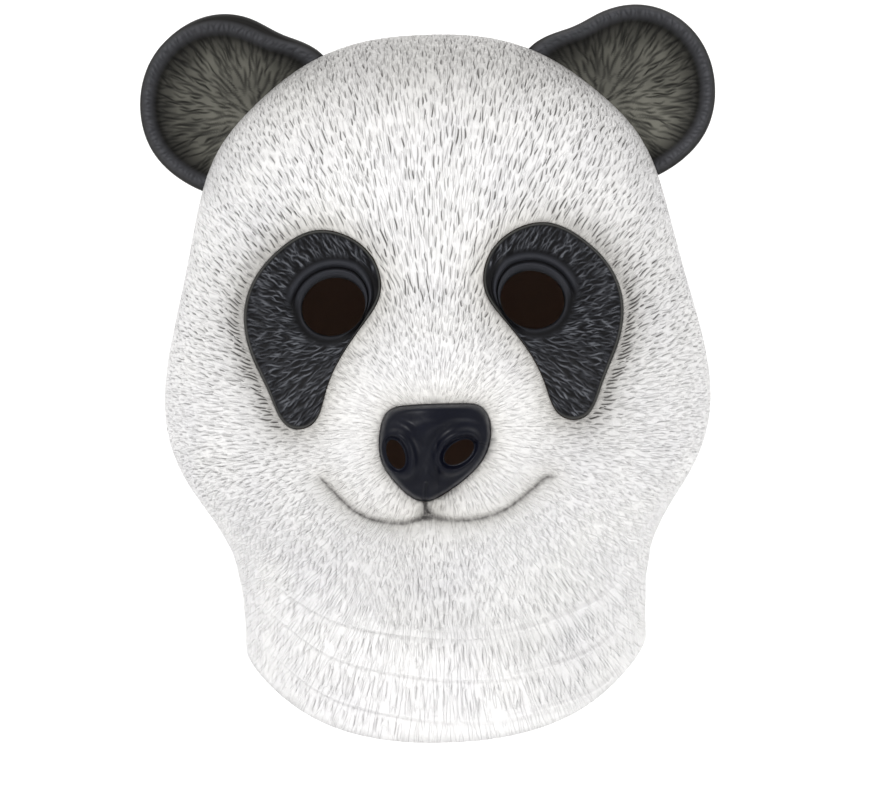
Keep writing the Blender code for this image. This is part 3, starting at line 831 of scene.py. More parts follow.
def dark_places(points):
    """Where the dashes are darker: more paint wiped in at the patches' outer edges, and painted shade
    under the ears.
    """
    x, y, z = points.T
    # Painted shade: the dashes are darker under the ears.
    more = near_ear(points)
    for side, loop in patches.items():
        near = mist(distance_to(loop[::3], x, z), 11 * MM)
        more += DARKER_AT_PATCH * near * smooth(side * x, 40 * MM, 75 * MM) * (y < 0)
    return more


def mist(distance, reach):
    """A fade away from an edge, for sprayed paint and for painted shade."""
    return np.exp(-((np.maximum(distance, 0) / reach) ** 1.3))


def draw_dashes():
    _, _, out = skin_slopes(dash_turn, dash_length)
    sideways = np.cross(out, dash_flow)
    curl = rng.uniform(-1, 1, len(dash_turn))
    wave = rng.uniform(-1, 1, len(dash_turn))
    long, wide, _, sink, dark = dash_size.T
    dark = np.minimum(dark + dark_places(skin_xyz(dash_turn, dash_length)), DARKEST)
    turns, lengths, sinks, washes = [], [], [], []
    for along, across, deep, painted in DASH:
        bend = curl * (1 - 4 * along**2) * CURL + wave * np.sin(2 * math.pi * along) * WAVE
        offset = dash_flow * (along * long)[:, None]
        offset = offset + sideways * (across * wide + bend * long)[:, None]
        turn, length = lay_on_skin(dash_turn, dash_length, offset)
        turns.append(turn)
        lengths.append(length)
        sinks.append(sink * deep)
        washes.append(dark * painted)
    return [np.stack(rows, axis=1).ravel() for rows in (turns, lengths, sinks, washes)]


dash_turns, dash_lengths, dash_sinks, dash_washes = draw_dashes()
print("points in the dashes:", len(dash_turns))

# %% [markdown]
# The smile is one long crease. It gets its own rows of points beside it, so the lips swell a
# little on both sides of a narrow valley. The bands round the neck are drawn the same way. Rows
# of points also run round each window and along the hem, where the skin ends. Then one
# triangulation makes the whole outer face.

# %% Outer and inner face of the skin
# Cuts through the smile and through the crease above it: distance from the middle and depth, in
# millimetres.
LIP_CUT = (
    (0.0, 1.6), (0.45, 1.4), (0.95, 0.8), (1.5, 0.15), (2.1, -0.3), (3.3, -0.5), (4.8, -0.35),
    (6.6, -0.05),
)
PHILTRUM_CUT = ((0.0, 1.5), (0.4, 1.1), (0.9, 0.3), (1.5, -0.2))
# Share of the smile over which it dies away at either end
SMILE_FADE = 0.05
# Distance from the crease above the smile within which that crease has the skin to itself
CREASE_ROOM = 1.7 * MM
# A cut through a neck band: height above its middle and depth, in millimetres.
BAND_CUT = ((-4.0, 0.3), (-1.5, 0.6), (-0.6, -0.7), (0.6, -0.9), (1.5, 0.8), (4.0, 0.4))


def beside(line, way_and_reach):
    """A line seen from the front, moved sideways."""
    tangent = np.gradient(line, axis=0)
    tangent /= np.linalg.norm(tangent, axis=1, keepdims=True)
    return line + np.stack([-tangent[:, 1], tangent[:, 0]], axis=1) * way_and_reach


def lip_rows():
    """Points beside the smile seen from the front, and how deep each is sunk."""
    share = np.linspace(0, 1, len(smile))
    strength = smooth(share, 0, SMILE_FADE) * (1 - smooth(share, 1 - SMILE_FADE, 1))
    spots, sinks = [], []
    for reach, deep in LIP_CUT:
        for way in (1, -1) if reach else (1,):
            if way > 0 and reach * MM > UPPER_LIP_BAND - 0.5 * MM:
                continue
            step = 1 if reach < 1.5 else 3
            row = beside(smile, way * reach * MM)[::step]
            clear = distance_to(philtrum, *row.T, closed=False) > CREASE_ROOM
            spots.append(row[clear])
            sinks.append((deep * MM * strength[::step])[clear])
    for reach, deep in PHILTRUM_CUT:
        for way in (1, -1) if reach else (1,):
            row = beside(philtrum, way * reach * MM)
            spots.append(row)
            sinks.append(np.full(len(row), deep * MM))
    return np.concatenate(spots), np.concatenate(sinks)


def band_rows():
    """Points along the neck bands, and how deep each is sunk."""
    turn = np.linspace(-BAND_REACH, BAND_REACH, 130)
    fade = 1 - smooth(np.abs(turn), 0.7 * BAND_REACH, BAND_REACH)
    turns, lengths, sinks = [], [], []
    for level, slope in NECK_BANDS:
        for above, deep in BAND_CUT:
            down = hem_down(turn) - band_height(turn, level, slope) - above * MM
            turns.append(turn)
            lengths.append(np.interp(down, SKIN_CURVE[:, 0], SKIN_LENGTH))
            sinks.append(deep * MM * fade)
    return np.concatenate(turns), np.concatenate(lengths), np.concatenate(sinks)


def face_loop(outline):
    return to_chart(*on_face(outline[:, 0], outline[:, 1]))


def hem_loop(count):
    turn = np.linspace(-math.pi, math.pi, count, endpoint=False)
    return to_chart(turn, np.interp(hem_down(turn), SKIN_CURVE[:, 0], SKIN_LENGTH))


hem = hem_loop(300)
windows = [face_loop(grown(loop, GAP)) for loop in (*patches.values(), nose_edge)]
windows += list(slots.values())
loops = [hem, *windows]


def sheet(extra_spots, extra_edges):
    """Triangles of a skin with its windows left out, with the loops' points first."""
    spots, edges = [], []
    for loop in loops:
        first = sum(len(part) for part in spots)
        edges += [(first + i, first + (i + 1) % len(loop)) for i in range(len(loop))]
        spots.append(loop)
    first = sum(len(part) for part in spots)
    edges += [(first + a, first + b) for a, b in extra_edges]
    spots.append(extra_spots)
    spots = np.concatenate(spots)
    corners, faces, source = triangulate(spots, edges)
    middle = corners[faces].mean(axis=1)
    keep = inside(hem, middle)
    for loop in windows:
        keep &= ~inside(loop, middle)
    return corners, faces[keep], source, first


lip_spots, lip_sinks = lip_rows()
lip_turn, lip_length = on_face(lip_spots[:, 0], lip_spots[:, 1])
band_turn, band_length, band_sinks = band_rows()
dash_starts = range(0, len(dash_turns), len(DASH))
dash_edges = [(start + a, start + b) for start in dash_starts for a, b in DASH_EDGES]
extra = np.concatenate([
    to_chart(dash_turns, dash_lengths), to_chart(lip_turn, lip_length),
    to_chart(band_turn, band_length), [[0, 0]],
])
extra_sinks = np.concatenate([dash_sinks, lip_sinks, band_sinks, [0]])
extra_washes = np.concatenate([dash_washes, np.zeros(len(lip_sinks) + len(band_sinks) + 1)])
outer_spots, outer_faces, outer_source, fixed = sheet(extra, dash_edges)
print("outer face:", len(outer_spots), "points and", len(outer_faces), "triangles")

# %% [markdown]
# Latex that is poured into a mould keeps an even wall, so the inner face is the outer one pushed
# in by the wall, without the fur. It shares the windows and the hem with the outer face. Strips
# of triangles between their two edges close the wall, and the skin becomes one solid mesh.

# %% Join the two faces into one skin


def on_skin(spots, sink):
    turn, length = from_chart(spots)
    _, _, out = skin_slopes(turn, length)
    crown = length < 0.5 * MM
    out[crown] = upright
    points = skin_xyz(turn, length)
    return points - out * sink[:, None]


def inner_sheet():
    """A coarser inner face with the same loops."""
    turn, length = np.meshgrid(
        np.linspace(-math.pi, math.pi, 60, endpoint=False), np.linspace(5 * MM, SKIN_LENGTH[-1], 48)
    )
    spots = to_chart(turn.ravel(), length.ravel())
    clear = inside(grown_chart(hem, -4 * MM), spots)
    for loop in windows:
        clear &= ~inside(grown_chart(loop, 6 * MM), spots)
    return sheet(spots[clear], [])


def grown_chart(loop, margin):
    """A chart loop moved outwards by about a real margin."""
    middle = loop.mean(axis=0)
    scale = np.hypot(*middle) if np.hypot(*middle) > 0.01 else np.abs(loop).max()
    return grown(loop, margin * scale / (95 * MM))


def compact(points, faces, *values):
    """Drops the points that no face uses."""
    used = np.unique(faces)
    renumber = np.full(len(points), -1)
    renumber[used] = np.arange(len(used))
    return (points[used], renumber[faces], renumber, *(value[used] for value in values))


def read_source(values, source, first):
    """A value for each corner, zero on the loops."""
    own = source >= first
    found = np.zeros(len(source))
    found[own] = values[source[own] - first]
    return found


outer_sink = read_source(extra_sinks, outer_source, fixed)
outer_wash = read_source(extra_washes, outer_source, fixed)
outer_points = on_skin(outer_spots, outer_sink)
inner_spots, inner_faces, inner_source, _ = inner_sheet()
inner_points = on_skin(inner_spots, np.full(len(inner_spots), WALL))
points = np.concatenate([outer_points, inner_points])
faces = np.concatenate([outer_faces, inner_faces[:, ::-1] + len(outer_points)])
walls = []
first = 0
outer_place = {s: i for i, s in enumerate(outer_source) if 0 <= s < fixed}
inner_place = {s: i + len(outer_points) for i, s in enumerate(inner_source) if 0 <= s < fixed}
for loop in loops:
    for i in range(len(loop)):
        a, b = first + i, first + (i + 1) % len(loop)
        walls.append((outer_place[a], outer_place[b], inner_place[b]))
        walls.append((outer_place[a], inner_place[b], inner_place[a]))
    first += len(loop)
faces = np.concatenate([faces, np.array(walls)])
wash = np.concatenate([outer_wash, np.zeros(len(inner_points))])
is_inner = np.concatenate([np.zeros(len(outer_points)), np.ones(len(inner_points))])
points, faces, _, wash, is_inner = compact(points, faces, wash, is_inner)
skin = add_mesh("skin_with_fur", points, faces)


def face_outwards(thing):
    """Makes all faces of a closed mesh point out."""
    shape = bmesh.new()
    shape.from_mesh(thing.data)
    bmesh.ops.recalc_face_normals(shape, faces=shape.faces)
    loose = sum(1 for edge in shape.edges if len(edge.link_faces) != 2)
    shape.to_mesh(thing.data)
    shape.free()
    return loose


print("skin:", len(skin.data.polygons), "triangles, open edges", face_outwards(skin))

# %% [markdown]
# Paint is kept on the skin's own points: how deep the wash sits in the dashes, how much soot was
# sprayed near the black pieces, how much painted shade lies under the ears and along the smile,
# how much greyer the crown is, and how warm the tint is.
# The material reads these as one attribute, so the paint follows the form from every side.

# %% Paint on the skin
# Sprayed paint beside each edge, and a painted line and painted shade along the smile and in the
# crease above it: strength, and reach in millimetres.
WARMTH = {"patches": (0.65, 8), "nose": (0.55, 8), "lips": (0.5, 6)}
SOOT_AND_PAINTED_SHADE = {
    "nose": (0.40, 2.2), "smile": (0.62, 1.0), "lower lip": (0.40, 5.0), "upper lip": (0.10, 3.0),
    "crease": (0.70, 0.8), "beside the crease": (0.3, 3.0), "end of the crease": (0.45, 3.0),
}
# Soot round the patches: strength and reach at their inner edges, and what the outer edges add.
PATCH_SOOT = (0.22, 3.0)
OUTER_SOOT = (0.30, 5.5)
# Painted shade under the ears and on the skin that the ears cover, and grey on the crown, in one
# strong spot and one wide one.
EAR_PAINTED_SHADE = 0.62
COVERED_PAINTED_SHADE = 0.3
CROWN_GREYING = 0.34
WIDE_CROWN_GREYING = 0.08
CROWN_WARMTH = 0.3


def save_paint(thing, wash, soot_and_shade, warm, name="paint"):
    """Keeps three paint values for each point: wash, soot with painted shade, and warmth."""
    layer = thing.data.attributes.new(name, "FLOAT_VECTOR", "POINT")
    layer.data.foreach_set("vector", np.stack([wash, soot_and_shade, warm], axis=1).astype(np.float32).ravel())


def spray_and_shade(table, edge, distance):
    strength, reach = table[edge]
    return strength * mist(distance, reach * MM)


def skin_paint(points, wash, is_inner):
    """Wash, soot with painted shade, and warmth for each point of the skin."""
    x, y, z = points.T
    front = smooth(-y, 0, 20 * MM) * (1 - is_inner)
    soot_and_shade = np.zeros(len(points))
    warm = np.zeros(len(points))
    for side, loop in patches.items():
        distance = distance_to(loop, x, z)
        outer = smooth(side * x, 30 * MM, 85 * MM)
        strength = PATCH_SOOT[0] + OUTER_SOOT[0] * outer
        soot_and_shade += front * strength * mist(distance, (PATCH_SOOT[1] + OUTER_SOOT[1] * outer) * MM)
        warm += front * spray_and_shade(WARMTH, "patches", distance)
    nose_away = distance_to(nose_edge, x, z)
    soot_and_shade += front * spray_and_shade(SOOT_AND_PAINTED_SHADE, "nose", nose_away)
    warm += front * spray_and_shade(WARMTH, "nose", nose_away)
    # A dark painted line in the smile, with painted shade beside it, strongest under it.
    lips = distance_to(smile[::4], x, z, closed=False)
    lower, upper = spray_and_shade(SOOT_AND_PAINTED_SHADE, "lower lip", lips), spray_and_shade(SOOT_AND_PAINTED_SHADE, "upper lip", lips)
    soot_and_shade += front * (spray_and_shade(SOOT_AND_PAINTED_SHADE, "smile", lips) + np.where(below_smile(x, z), lower, upper))
    warm += front * spray_and_shade(WARMTH, "lips", lips)
    # Painted shade in the crease from the nose down to the smile, widest where it meets the smile.
    crease = distance_to(philtrum, x, z, closed=False)
    crease_end = np.hypot(x - philtrum[-1, 0], z - philtrum[-1, 1])
    soot_and_shade += front * (spray_and_shade(SOOT_AND_PAINTED_SHADE, "crease", crease) + spray_and_shade(SOOT_AND_PAINTED_SHADE, "beside the crease", crease))
    soot_and_shade += front * spray_and_shade(SOOT_AND_PAINTED_SHADE, "end of the crease", crease_end)
    # Painted shade under the ears and on the skin that they cover.
    covered = COVERED_PAINTED_SHADE * within_ear(points, 2 * MM)
    soot_and_shade += (1 - is_inner) * (EAR_PAINTED_SHADE * near_ear(points) + covered)
    # Greyer towards the crown, in one strong spot and one wide one.
    crown = smooth(z, -0.08, 0.0)
    on_crown = CROWN_GREYING * smooth(z, -0.045, -0.008) + WIDE_CROWN_GREYING * crown
    soot_and_shade += on_crown * (1 - is_inner)
    warm += CROWN_WARMTH * crown
    return wash * (1 - is_inner), np.clip(soot_and_shade, 0, 1), np.clip(warm, 0, 1)


save_paint(skin, *skin_paint(points, wash, is_inner))
inner_layer = skin.data.attributes.new("inner", "FLOAT", "POINT")
inner_layer.data.foreach_set("value", is_inner.astype(np.float32))
print("paint runs from", round(float(wash.min()), 2), "to", round(float(wash.max()), 2))

# %% [markdown]
# Materials are built from nodes. A small helper makes a node, sets its values and returns it, so
# each finish below reads as a short recipe. The longest of its ways draws the fine lines between
# the dashes, like those that a wire brush leaves in modelling clay.

# %% Node helpers
# Distances from the start of the fur at which its fine lines have exactly their own width
HAIR_RINGS = (0.03, 0.06, 0.11, 0.2)


class Finish:
    """A material with its shader, and short ways to add and join nodes."""

    def __init__(self, name, roughness, **sockets):
        self.material = bpy.data.materials.new(name)
        self.material.use_nodes = True
        self.tree = self.material.node_tree
        self.shader = self.tree.nodes["Principled BSDF"]
        self.shader.inputs["Roughness"].default_value = roughness
        for socket, value in sockets.items():
            self.shader.inputs[socket.replace("_", " ")].default_value = value

    def node(self, kind, inputs=(), **settings):
        made = self.tree.nodes.new(kind)
        for key, value in settings.items():
            setattr(made, key, value)
        for key, value in dict(inputs).items():
            self.join(value, made.inputs[key])
        return made

    def join(self, value, socket):
        if isinstance(value, bpy.types.NodeSocket):
            self.tree.links.new(value, socket)
        else:
            socket.default_value = value

    def noise(self, scale, detail=3.0, roughness=0.55, stretch=None):
        place = self.node("ShaderNodeTexCoord").outputs["Object"]
        if stretch:
            place = self.node("ShaderNodeVectorMath", {0: place, 1: stretch},
                              operation="MULTIPLY").outputs[0]
        inputs = {"Vector": place, "Scale": scale, "Detail": detail, "Roughness": roughness}
        return self.node("ShaderNodeTexNoise", inputs).outputs["Fac"]

    def math(self, operation, *values):
        made = self.node("ShaderNodeMath", dict(enumerate(values)), operation=operation)
        return made.outputs[0]

    def ramp(self, value, low, high, start=0.0, end=1.0):
        inputs = {"Value": value, "From Min": low, "From Max": high, "To Min": start, "To Max": end}
        return self.node("ShaderNodeMapRange", inputs).outputs["Result"]

    def mix(self, share, first, second):
        made = self.node("ShaderNodeMix", data_type="RGBA")
        self.join(share, made.inputs["Factor"])
        for value, socket in ((first, made.inputs[6]), (second, made.inputs[7])):
            self.join(value if isinstance(value, bpy.types.NodeSocket) else (*value, 1), socket)
        return made.outputs[2]

    def paint(self):
        layer = self.node("ShaderNodeAttribute", attribute_name="paint")
        return self.node("ShaderNodeSeparateXYZ", {0: layer.outputs["Vector"]}).outputs

    def bump(self, height, strength, depth):
        inputs = {"Height": height, "Strength": strength, "Distance": depth}
        return self.node("ShaderNodeBump", inputs).outputs["Normal"]

    def hairs(self, start, across, along, seed):
        """Fine lines that run away from a start point, with a width and a length in metres.

        Each ring of the surface round the start gets its own number of lines, so their width
        stays about the same all over the face. The lines run from 0 to 1 about a middle of 0.5,
        and they die away close to the start, where they would meet like the rays of a star.
        """
        place = self.node("ShaderNodeTexCoord").outputs["Object"]
        away = self.node("ShaderNodeVectorMath", {0: place, 1: start}, operation="SUBTRACT").outputs[0]
        flat = self.node("ShaderNodeVectorMath", {0: away, 1: (1, 0, 1)}, operation="MULTIPLY").outputs[0]
        spread = self.node("ShaderNodeVectorMath", {0: flat}, operation="LENGTH").outputs["Value"]
        reach = self.node("ShaderNodeVectorMath", {0: away}, operation="LENGTH").outputs["Value"]
        towards = self.node("ShaderNodeVectorMath", {0: flat}, operation="NORMALIZE").outputs[0]
        run = self.math("LOGARITHM", reach, math.e)
        bands = []
        for ring in HAIR_RINGS:
            turn = self.node("ShaderNodeVectorMath", {0: towards, 3: ring / across}, operation="SCALE")
            step = self.node("ShaderNodeCombineXYZ", {1: self.math("MULTIPLY", run, ring / along)})
            spot = self.node("ShaderNodeVectorMath", {0: turn.outputs[0], 1: step.outputs[0]},
                             operation="ADD").outputs[0]
            inputs = {"Vector": spot, "W": seed + ring, "Scale": 1.0, "Detail": 1.0}
            noise = self.node("ShaderNodeTexNoise", inputs, noise_dimensions="4D")
            bands.append(noise.outputs["Fac"])
        blended = bands[0]
        for low, high, band in zip(HAIR_RINGS, HAIR_RINGS[1:], bands[1:]):
            share = self.ramp(spread, low * 1.15, high * 0.85)
            blend = self.node("ShaderNodeMix", {0: share}, data_type="FLOAT")
            self.join(blended, blend.inputs[2])
            self.join(band, blend.inputs[3])
            blended = blend.outputs[0]
        start_clear = self.ramp(spread, HAIR_RINGS[0] / 3, HAIR_RINGS[0])
        return self.math("MULTIPLY_ADD", self.math("SUBTRACT", blended, 0.5), start_clear, 0.5)

    def finish(self, colour, roughness=None, normal=None):
        self.join(colour, self.shader.inputs["Base Color"])
        if roughness is not None:
            self.join(roughness, self.shader.inputs["Roughness"])
        if normal is not None:
            self.join(normal, self.shader.inputs["Normal"])
        return self.material


print("rings of fine lines:", len(HAIR_RINGS))

# %% [markdown]
# The white skin. White latex is cast first, then a grey wash could be wiped over it, which
# stays in the grooves, and soot be sprayed on where the black pieces begin. Painted shade darkens
# the skin under the ears and round the smile. Here the colours are mixed in the same order. Behind
# the ears the fine lines hang down instead of running outwards, and the inside of the skin has
# neither paint nor lines: it is a raw-latex brown, darkened as painted shade for the hollow.

# %% Finish of the skin
HAIR_WIDE = 1.5 * MM
HAIR_LONG = 9 * MM


def skin_finish():
    """White latex with grey wash in the fur, soot near the black pieces, painted shade under the ears and
    round the smile, a faint mottle, and a brown inside darkened as painted shade.
    """
    made = Finish("painted_white_latex", 0.6, Specular_IOR_Level=0.3)
    wash, soot_and_shade, warm = made.paint()[:3]
    inner = made.node("ShaderNodeAttribute", attribute_name="inner").outputs["Fac"]
    mottle = made.noise(28, 4)
    fine = made.noise(420, 3)
    hairs = made.hairs(tuple(FUR_START), HAIR_WIDE, HAIR_LONG, 1.0)
    hanging = made.noise(620, 2, stretch=(1.0, 1.0, 0.16))
    place = made.node("ShaderNodeTexCoord").outputs["Object"]
    depth = made.node("ShaderNodeSeparateXYZ", {0: place}).outputs["Y"]
    behind = made.ramp(depth, 0.0, 0.045)
    hairs = made.math("MULTIPLY_ADD", made.math("SUBTRACT", hanging, hairs), behind, hairs)
    lines = made.ramp(made.math("ABSOLUTE", made.math("SUBTRACT", hairs, 0.5)), 0.0, 0.05)
    outside = made.math("SUBTRACT", 1.0, inner)
    white = made.mix(made.ramp(mottle, 0.35, 0.7), (0.93, 0.925, 0.92), (0.88, 0.875, 0.885))
    white = made.mix(made.ramp(lines, 0.0, 1.0, 0.10, 0.0), white, (0.42, 0.41, 0.40))
    white = made.mix(made.math("MULTIPLY", warm, 0.7), white, (0.62, 0.59, 0.51))
    # Soot near the black pieces, and painted shade under the ears and round the smile, broken by fine
    # noise.
    broken = made.math("MULTIPLY", soot_and_shade, made.ramp(fine, 0.3, 0.6, 0.7, 1.1))
    white = made.mix(broken, white, (0.085, 0.08, 0.078))
    filled = made.math("MULTIPLY", wash, made.ramp(mottle, 0.3, 0.7, 0.75, 1.0))
    colour = made.mix(filled, white, (0.055, 0.05, 0.045))
    # Raw-latex brown inside, darkened as painted shade, so the eye openings and nostrils look dark.
    colour = made.mix(inner, colour, (0.12, 0.07, 0.048))
    rough = made.ramp(fine, 0.3, 0.7, 0.52, 0.70)
    relief = made.math("ADD", made.math("MULTIPLY", hairs, 0.9), made.math("MULTIPLY", lines, 0.16))
    relief = made.math("ADD", relief, made.math("MULTIPLY", fine, 0.12))
    return made.finish(colour, rough, made.bump(made.math("MULTIPLY", relief, outside), 0.95, 1.7 * MM))


skin.data.materials.append(skin_finish())
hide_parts("head_skin")
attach(skin, "root")
print("skin painted")

# %% [markdown]
# The black pieces are small enough for plain fine grids. Their brush-like relief is made of
# strokes too: each stroke is a long thin ridge with a gentle wave, and the surface takes the
# highest stroke at each of its points. On the ears the same strokes are cut in as grooves.

# %% Strokes on the black pieces


def ridges(spots, centres, angles, long, wide, seed):
    """Height of thin wavy ridges, 0 to 1, at spots seen from the front."""
    rng = np.random.default_rng(seed)
    height = np.zeros(len(spots))
    for centre, angle in zip(centres, angles):
        length = long * rng.uniform(0.6, 1.4)
        width = wide * rng.uniform(0.75, 1.25)
        phase, swing = rng.uniform(0, 2 * math.pi), rng.uniform(0.2, 0.8) * wide
        peak = rng.uniform(0.6, 1.0)
        away = spots - centre
        near = np.flatnonzero(np.abs(away).max(axis=1) < length)
        along = away[near] @ (math.cos(angle), math.sin(angle))
        across = away[near] @ (-math.sin(angle), math.cos(angle))
        across = across - swing * np.sin(along / length * 2 * math.pi + phase)
        shape = np.clip(1 - (across / width) ** 2, 0, 1) * np.clip(1 - (2 * along / length) ** 2, 0, 1)
        height[near] = np.maximum(height[near], peak * shape**0.7)
    return height


def strew_flat(low, high, spacing, seed):
    """Staggered spots with a little disorder over a flat box."""
    rng = np.random.default_rng(seed)
    rows = np.arange(low[1], high[1], spacing[1])
    spots = []
    for k, z in enumerate(rows):
        x = np.arange(low[0] + (k % 3) * spacing[0] / 3, high[0], spacing[0])
        spots.append(np.stack([x, np.full(len(x), z)], axis=1))
    spots = np.concatenate(spots)
    return spots + rng.uniform(-0.5, 0.5, spots.shape) * spacing


def grid_faces(rows, columns, looped=False):
    """Faces between rows of points, each row closed on itself."""
    found = []
    for r in range(rows if looped else rows - 1):
        below = (r + 1) % rows
        for c in range(columns):
            after = (c + 1) % columns
            found.append((r * columns + c, r * columns + after, below * columns + after,
                          below * columns + c))
    return found


def capped_faces(rows, columns):
    """Faces between rows of points, with a cap over the first row and one over the last."""
    faces = grid_faces(rows, columns)
    faces.append(tuple(range(columns)))
    last = (rows - 1) * columns
    faces.append(tuple(range(last, last + columns)))
    return faces


def inner_depth(x, z):
    """Depth of the skin's inner face on the face."""
    step = WALL / 2
    slope_x = (face_y(x + step, z) - face_y(x - step, z)) / (2 * step)
    slope_z = (face_y(x, z + step) - face_y(x, z - step)) / (2 * step)
    return face_y(x, z) + WALL * np.minimum(np.sqrt(1 + slope_x**2 + slope_z**2), 3)


print("ridge rows on a patch:", len(strew_flat((0, 0), (0.06, 0.08), (0.006, 0.0016), 1)))

# %% [markdown]
# An eye patch is a thin shell between the eye opening and the patch's edge. Round the opening
# stands a smooth raised lid, which swells into a hood with a second fold above the eye. The fur
# relief starts outside the lid and dies away at the edge, where a fine bead closes the patch.

# %% Eye patches
PATCH_SPOKES = 420
PATCH_RINGS = 84
# Lid below the eye, and the hooded lid above it with its second fold: distance from the opening
# as a share of the lid's width, and rise.
LID_CUT = ((0.0, 0.30), (0.08, 0.7), (0.18, 0.8), (0.32, 0.45), (0.55, 0.1), (0.75, 0.0), (2.2, 0.0))
HOOD_CUT = (
    (0.0, 0.35), (0.07, 0.80), (0.20, 1.0), (0.42, 1.08), (0.52, 0.90), (0.58, 0.45), (0.64, 0.42),
    (0.72, 0.85), (0.86, 1.15), (1.02, 1.05), (1.2, 0.55), (1.4, 0.12), (1.6, 0.0), (2.2, 0.0),
)
RIDGE_RISE = 0.95 * MM
RIDGE_LONG = 7.0 * MM
RIDGE_WIDE = 0.52 * MM
RIDGE_SPACING = (4.6 * MM, 1.05 * MM)
BEAD_RISE = 0.6 * MM
PATCH_FUR_START = np.array([20.0, -140.0]) * MM
# Distance from the opening at which the ridges start below the eye, and what the hood adds
RIDGE_START = 2.6
HOOD_ADDS = 5.2


def ellipse(centre, long, short, tilt, turn):
    along, rise = np.cos(turn) * long / 2, np.sin(turn) * short / 2
    x = centre[0] + along * math.cos(tilt) - rise * math.sin(tilt)
    z = centre[1] + along * math.sin(tilt) + rise * math.cos(tilt)
    return np.stack([x, z], axis=1)


def eye_outline(side, count):
    middle = np.array([EYE_ACROSS, -EYE_DOWN])
    across, rise = (patch_outline(1, count) - middle).T
    towards_edge = np.unwrap(np.arctan2(rise, across))
    even = towards_edge[0] + np.arange(count) * 2 * math.pi / count
    turn = EDGE_FOLLOWED * towards_edge + (1 - EDGE_FOLLOWED) * even - EYE_TILT
    return ellipse(middle, EYE_WIDE, EYE_TALL, EYE_TILT, turn) * (side, 1)


def lid_rise(spots, side, from_eye, from_edge):
    """Rise of the lids at spots, and 1 above the eye to 0 below it."""
    across, rise = ((spots - (side * EYE_ACROSS, -EYE_DOWN)) * (side, 1)).T
    above = smooth(np.sin(np.arctan2(rise, across) - 0.15), -0.35, 0.35)
    width = np.minimum(LID_WIDTH, 0.45 * (from_eye + from_edge))
    under = np.interp(from_eye / width, *np.array(LID_CUT).T)
    hood = np.interp(from_eye / width, *np.array(HOOD_CUT).T)
    return LID_RISE * (under * (1 - above) + hood * above), above


def bead_shape(from_edge):
    """1 on top of the bead at a patch's edge, 0 beside it."""
    return bell(np.abs(from_edge - 0.6 * MM) / (0.8 * MM))


def patch_rise(spots, side, from_eye, from_edge):
    """How far the patch's relief stands off the face, how much of it is ridge, and its lid."""
    lid, above = lid_rise(spots, side, from_eye, from_edge)
    spots = spots * (side, 1)
    centres = strew_flat(spots.min(axis=0), spots.max(axis=0), RIDGE_SPACING, 11)
    across, rise = (centres - PATCH_FUR_START).T
    rng = np.random.default_rng(13)
    lean = np.arctan2(rise, across) + rng.uniform(-0.3, 0.3, len(centres))
    fur = ridges(spots, centres, lean, RIDGE_LONG, RIDGE_WIDE, 12)
    start = (RIDGE_START + HOOD_ADDS * above) * MM
    room = smooth(from_eye, start, start + 3 * MM) * smooth(from_edge, 0.5 * MM, 2 * MM)
    bead = BEAD_RISE * bead_shape(from_edge)
    return lid + bead + RIDGE_RISE * (fur - 0.5) * room, fur * room, lid


def eye_patch(word, side):
    """One patch: its relief in front, a plain inner face behind, and its paint."""
    opening, edge = eye_outline(side, PATCH_SPOKES), patch_outline(side, PATCH_SPOKES)
    reach = np.linalg.norm(edge - opening, axis=1)
    share = np.linspace(0, 1, PATCH_RINGS)[:, None, None]
    spots = (opening * (1 - share) + edge * share).reshape(-1, 2)
    from_eye = (share[:, :, 0] * reach).ravel()
    from_edge = ((1 - share[:, :, 0]) * reach).ravel()
    rise, fur, lid = patch_rise(spots, side, from_eye, from_edge)
    outer = np.stack([spots[:, 0], face_y(*spots.T) - rise, spots[:, 1]], axis=1)
    behind = slice(None, None, 7)
    back_share = np.linspace(1, 0, PATCH_RINGS)[behind][:, None, None]
    back = (opening * (1 - back_share) + edge * back_share).reshape(-1, 2)
    back_eye = (back_share[:, :, 0] * reach).ravel()
    back_edge = ((1 - back_share[:, :, 0]) * reach).ravel()
    back_rise, _ = lid_rise(back, side, back_eye, back_edge)
    inner = np.stack([back[:, 0], inner_depth(*back.T) - back_rise, back[:, 1]], axis=1)
    rows = PATCH_RINGS + len(inner) // PATCH_SPOKES
    patch = add_mesh("eye_patch_shell_" + word, np.concatenate([outer, inner]),
                     grid_faces(rows, PATCH_SPOKES, looped=True))
    face_outwards(patch)
    pad = np.zeros(len(inner))
    paints = (fur, lid / LID_RISE, bead_shape(from_edge))
    save_paint(patch, *(np.concatenate([part, pad]) for part in paints))
    return patch


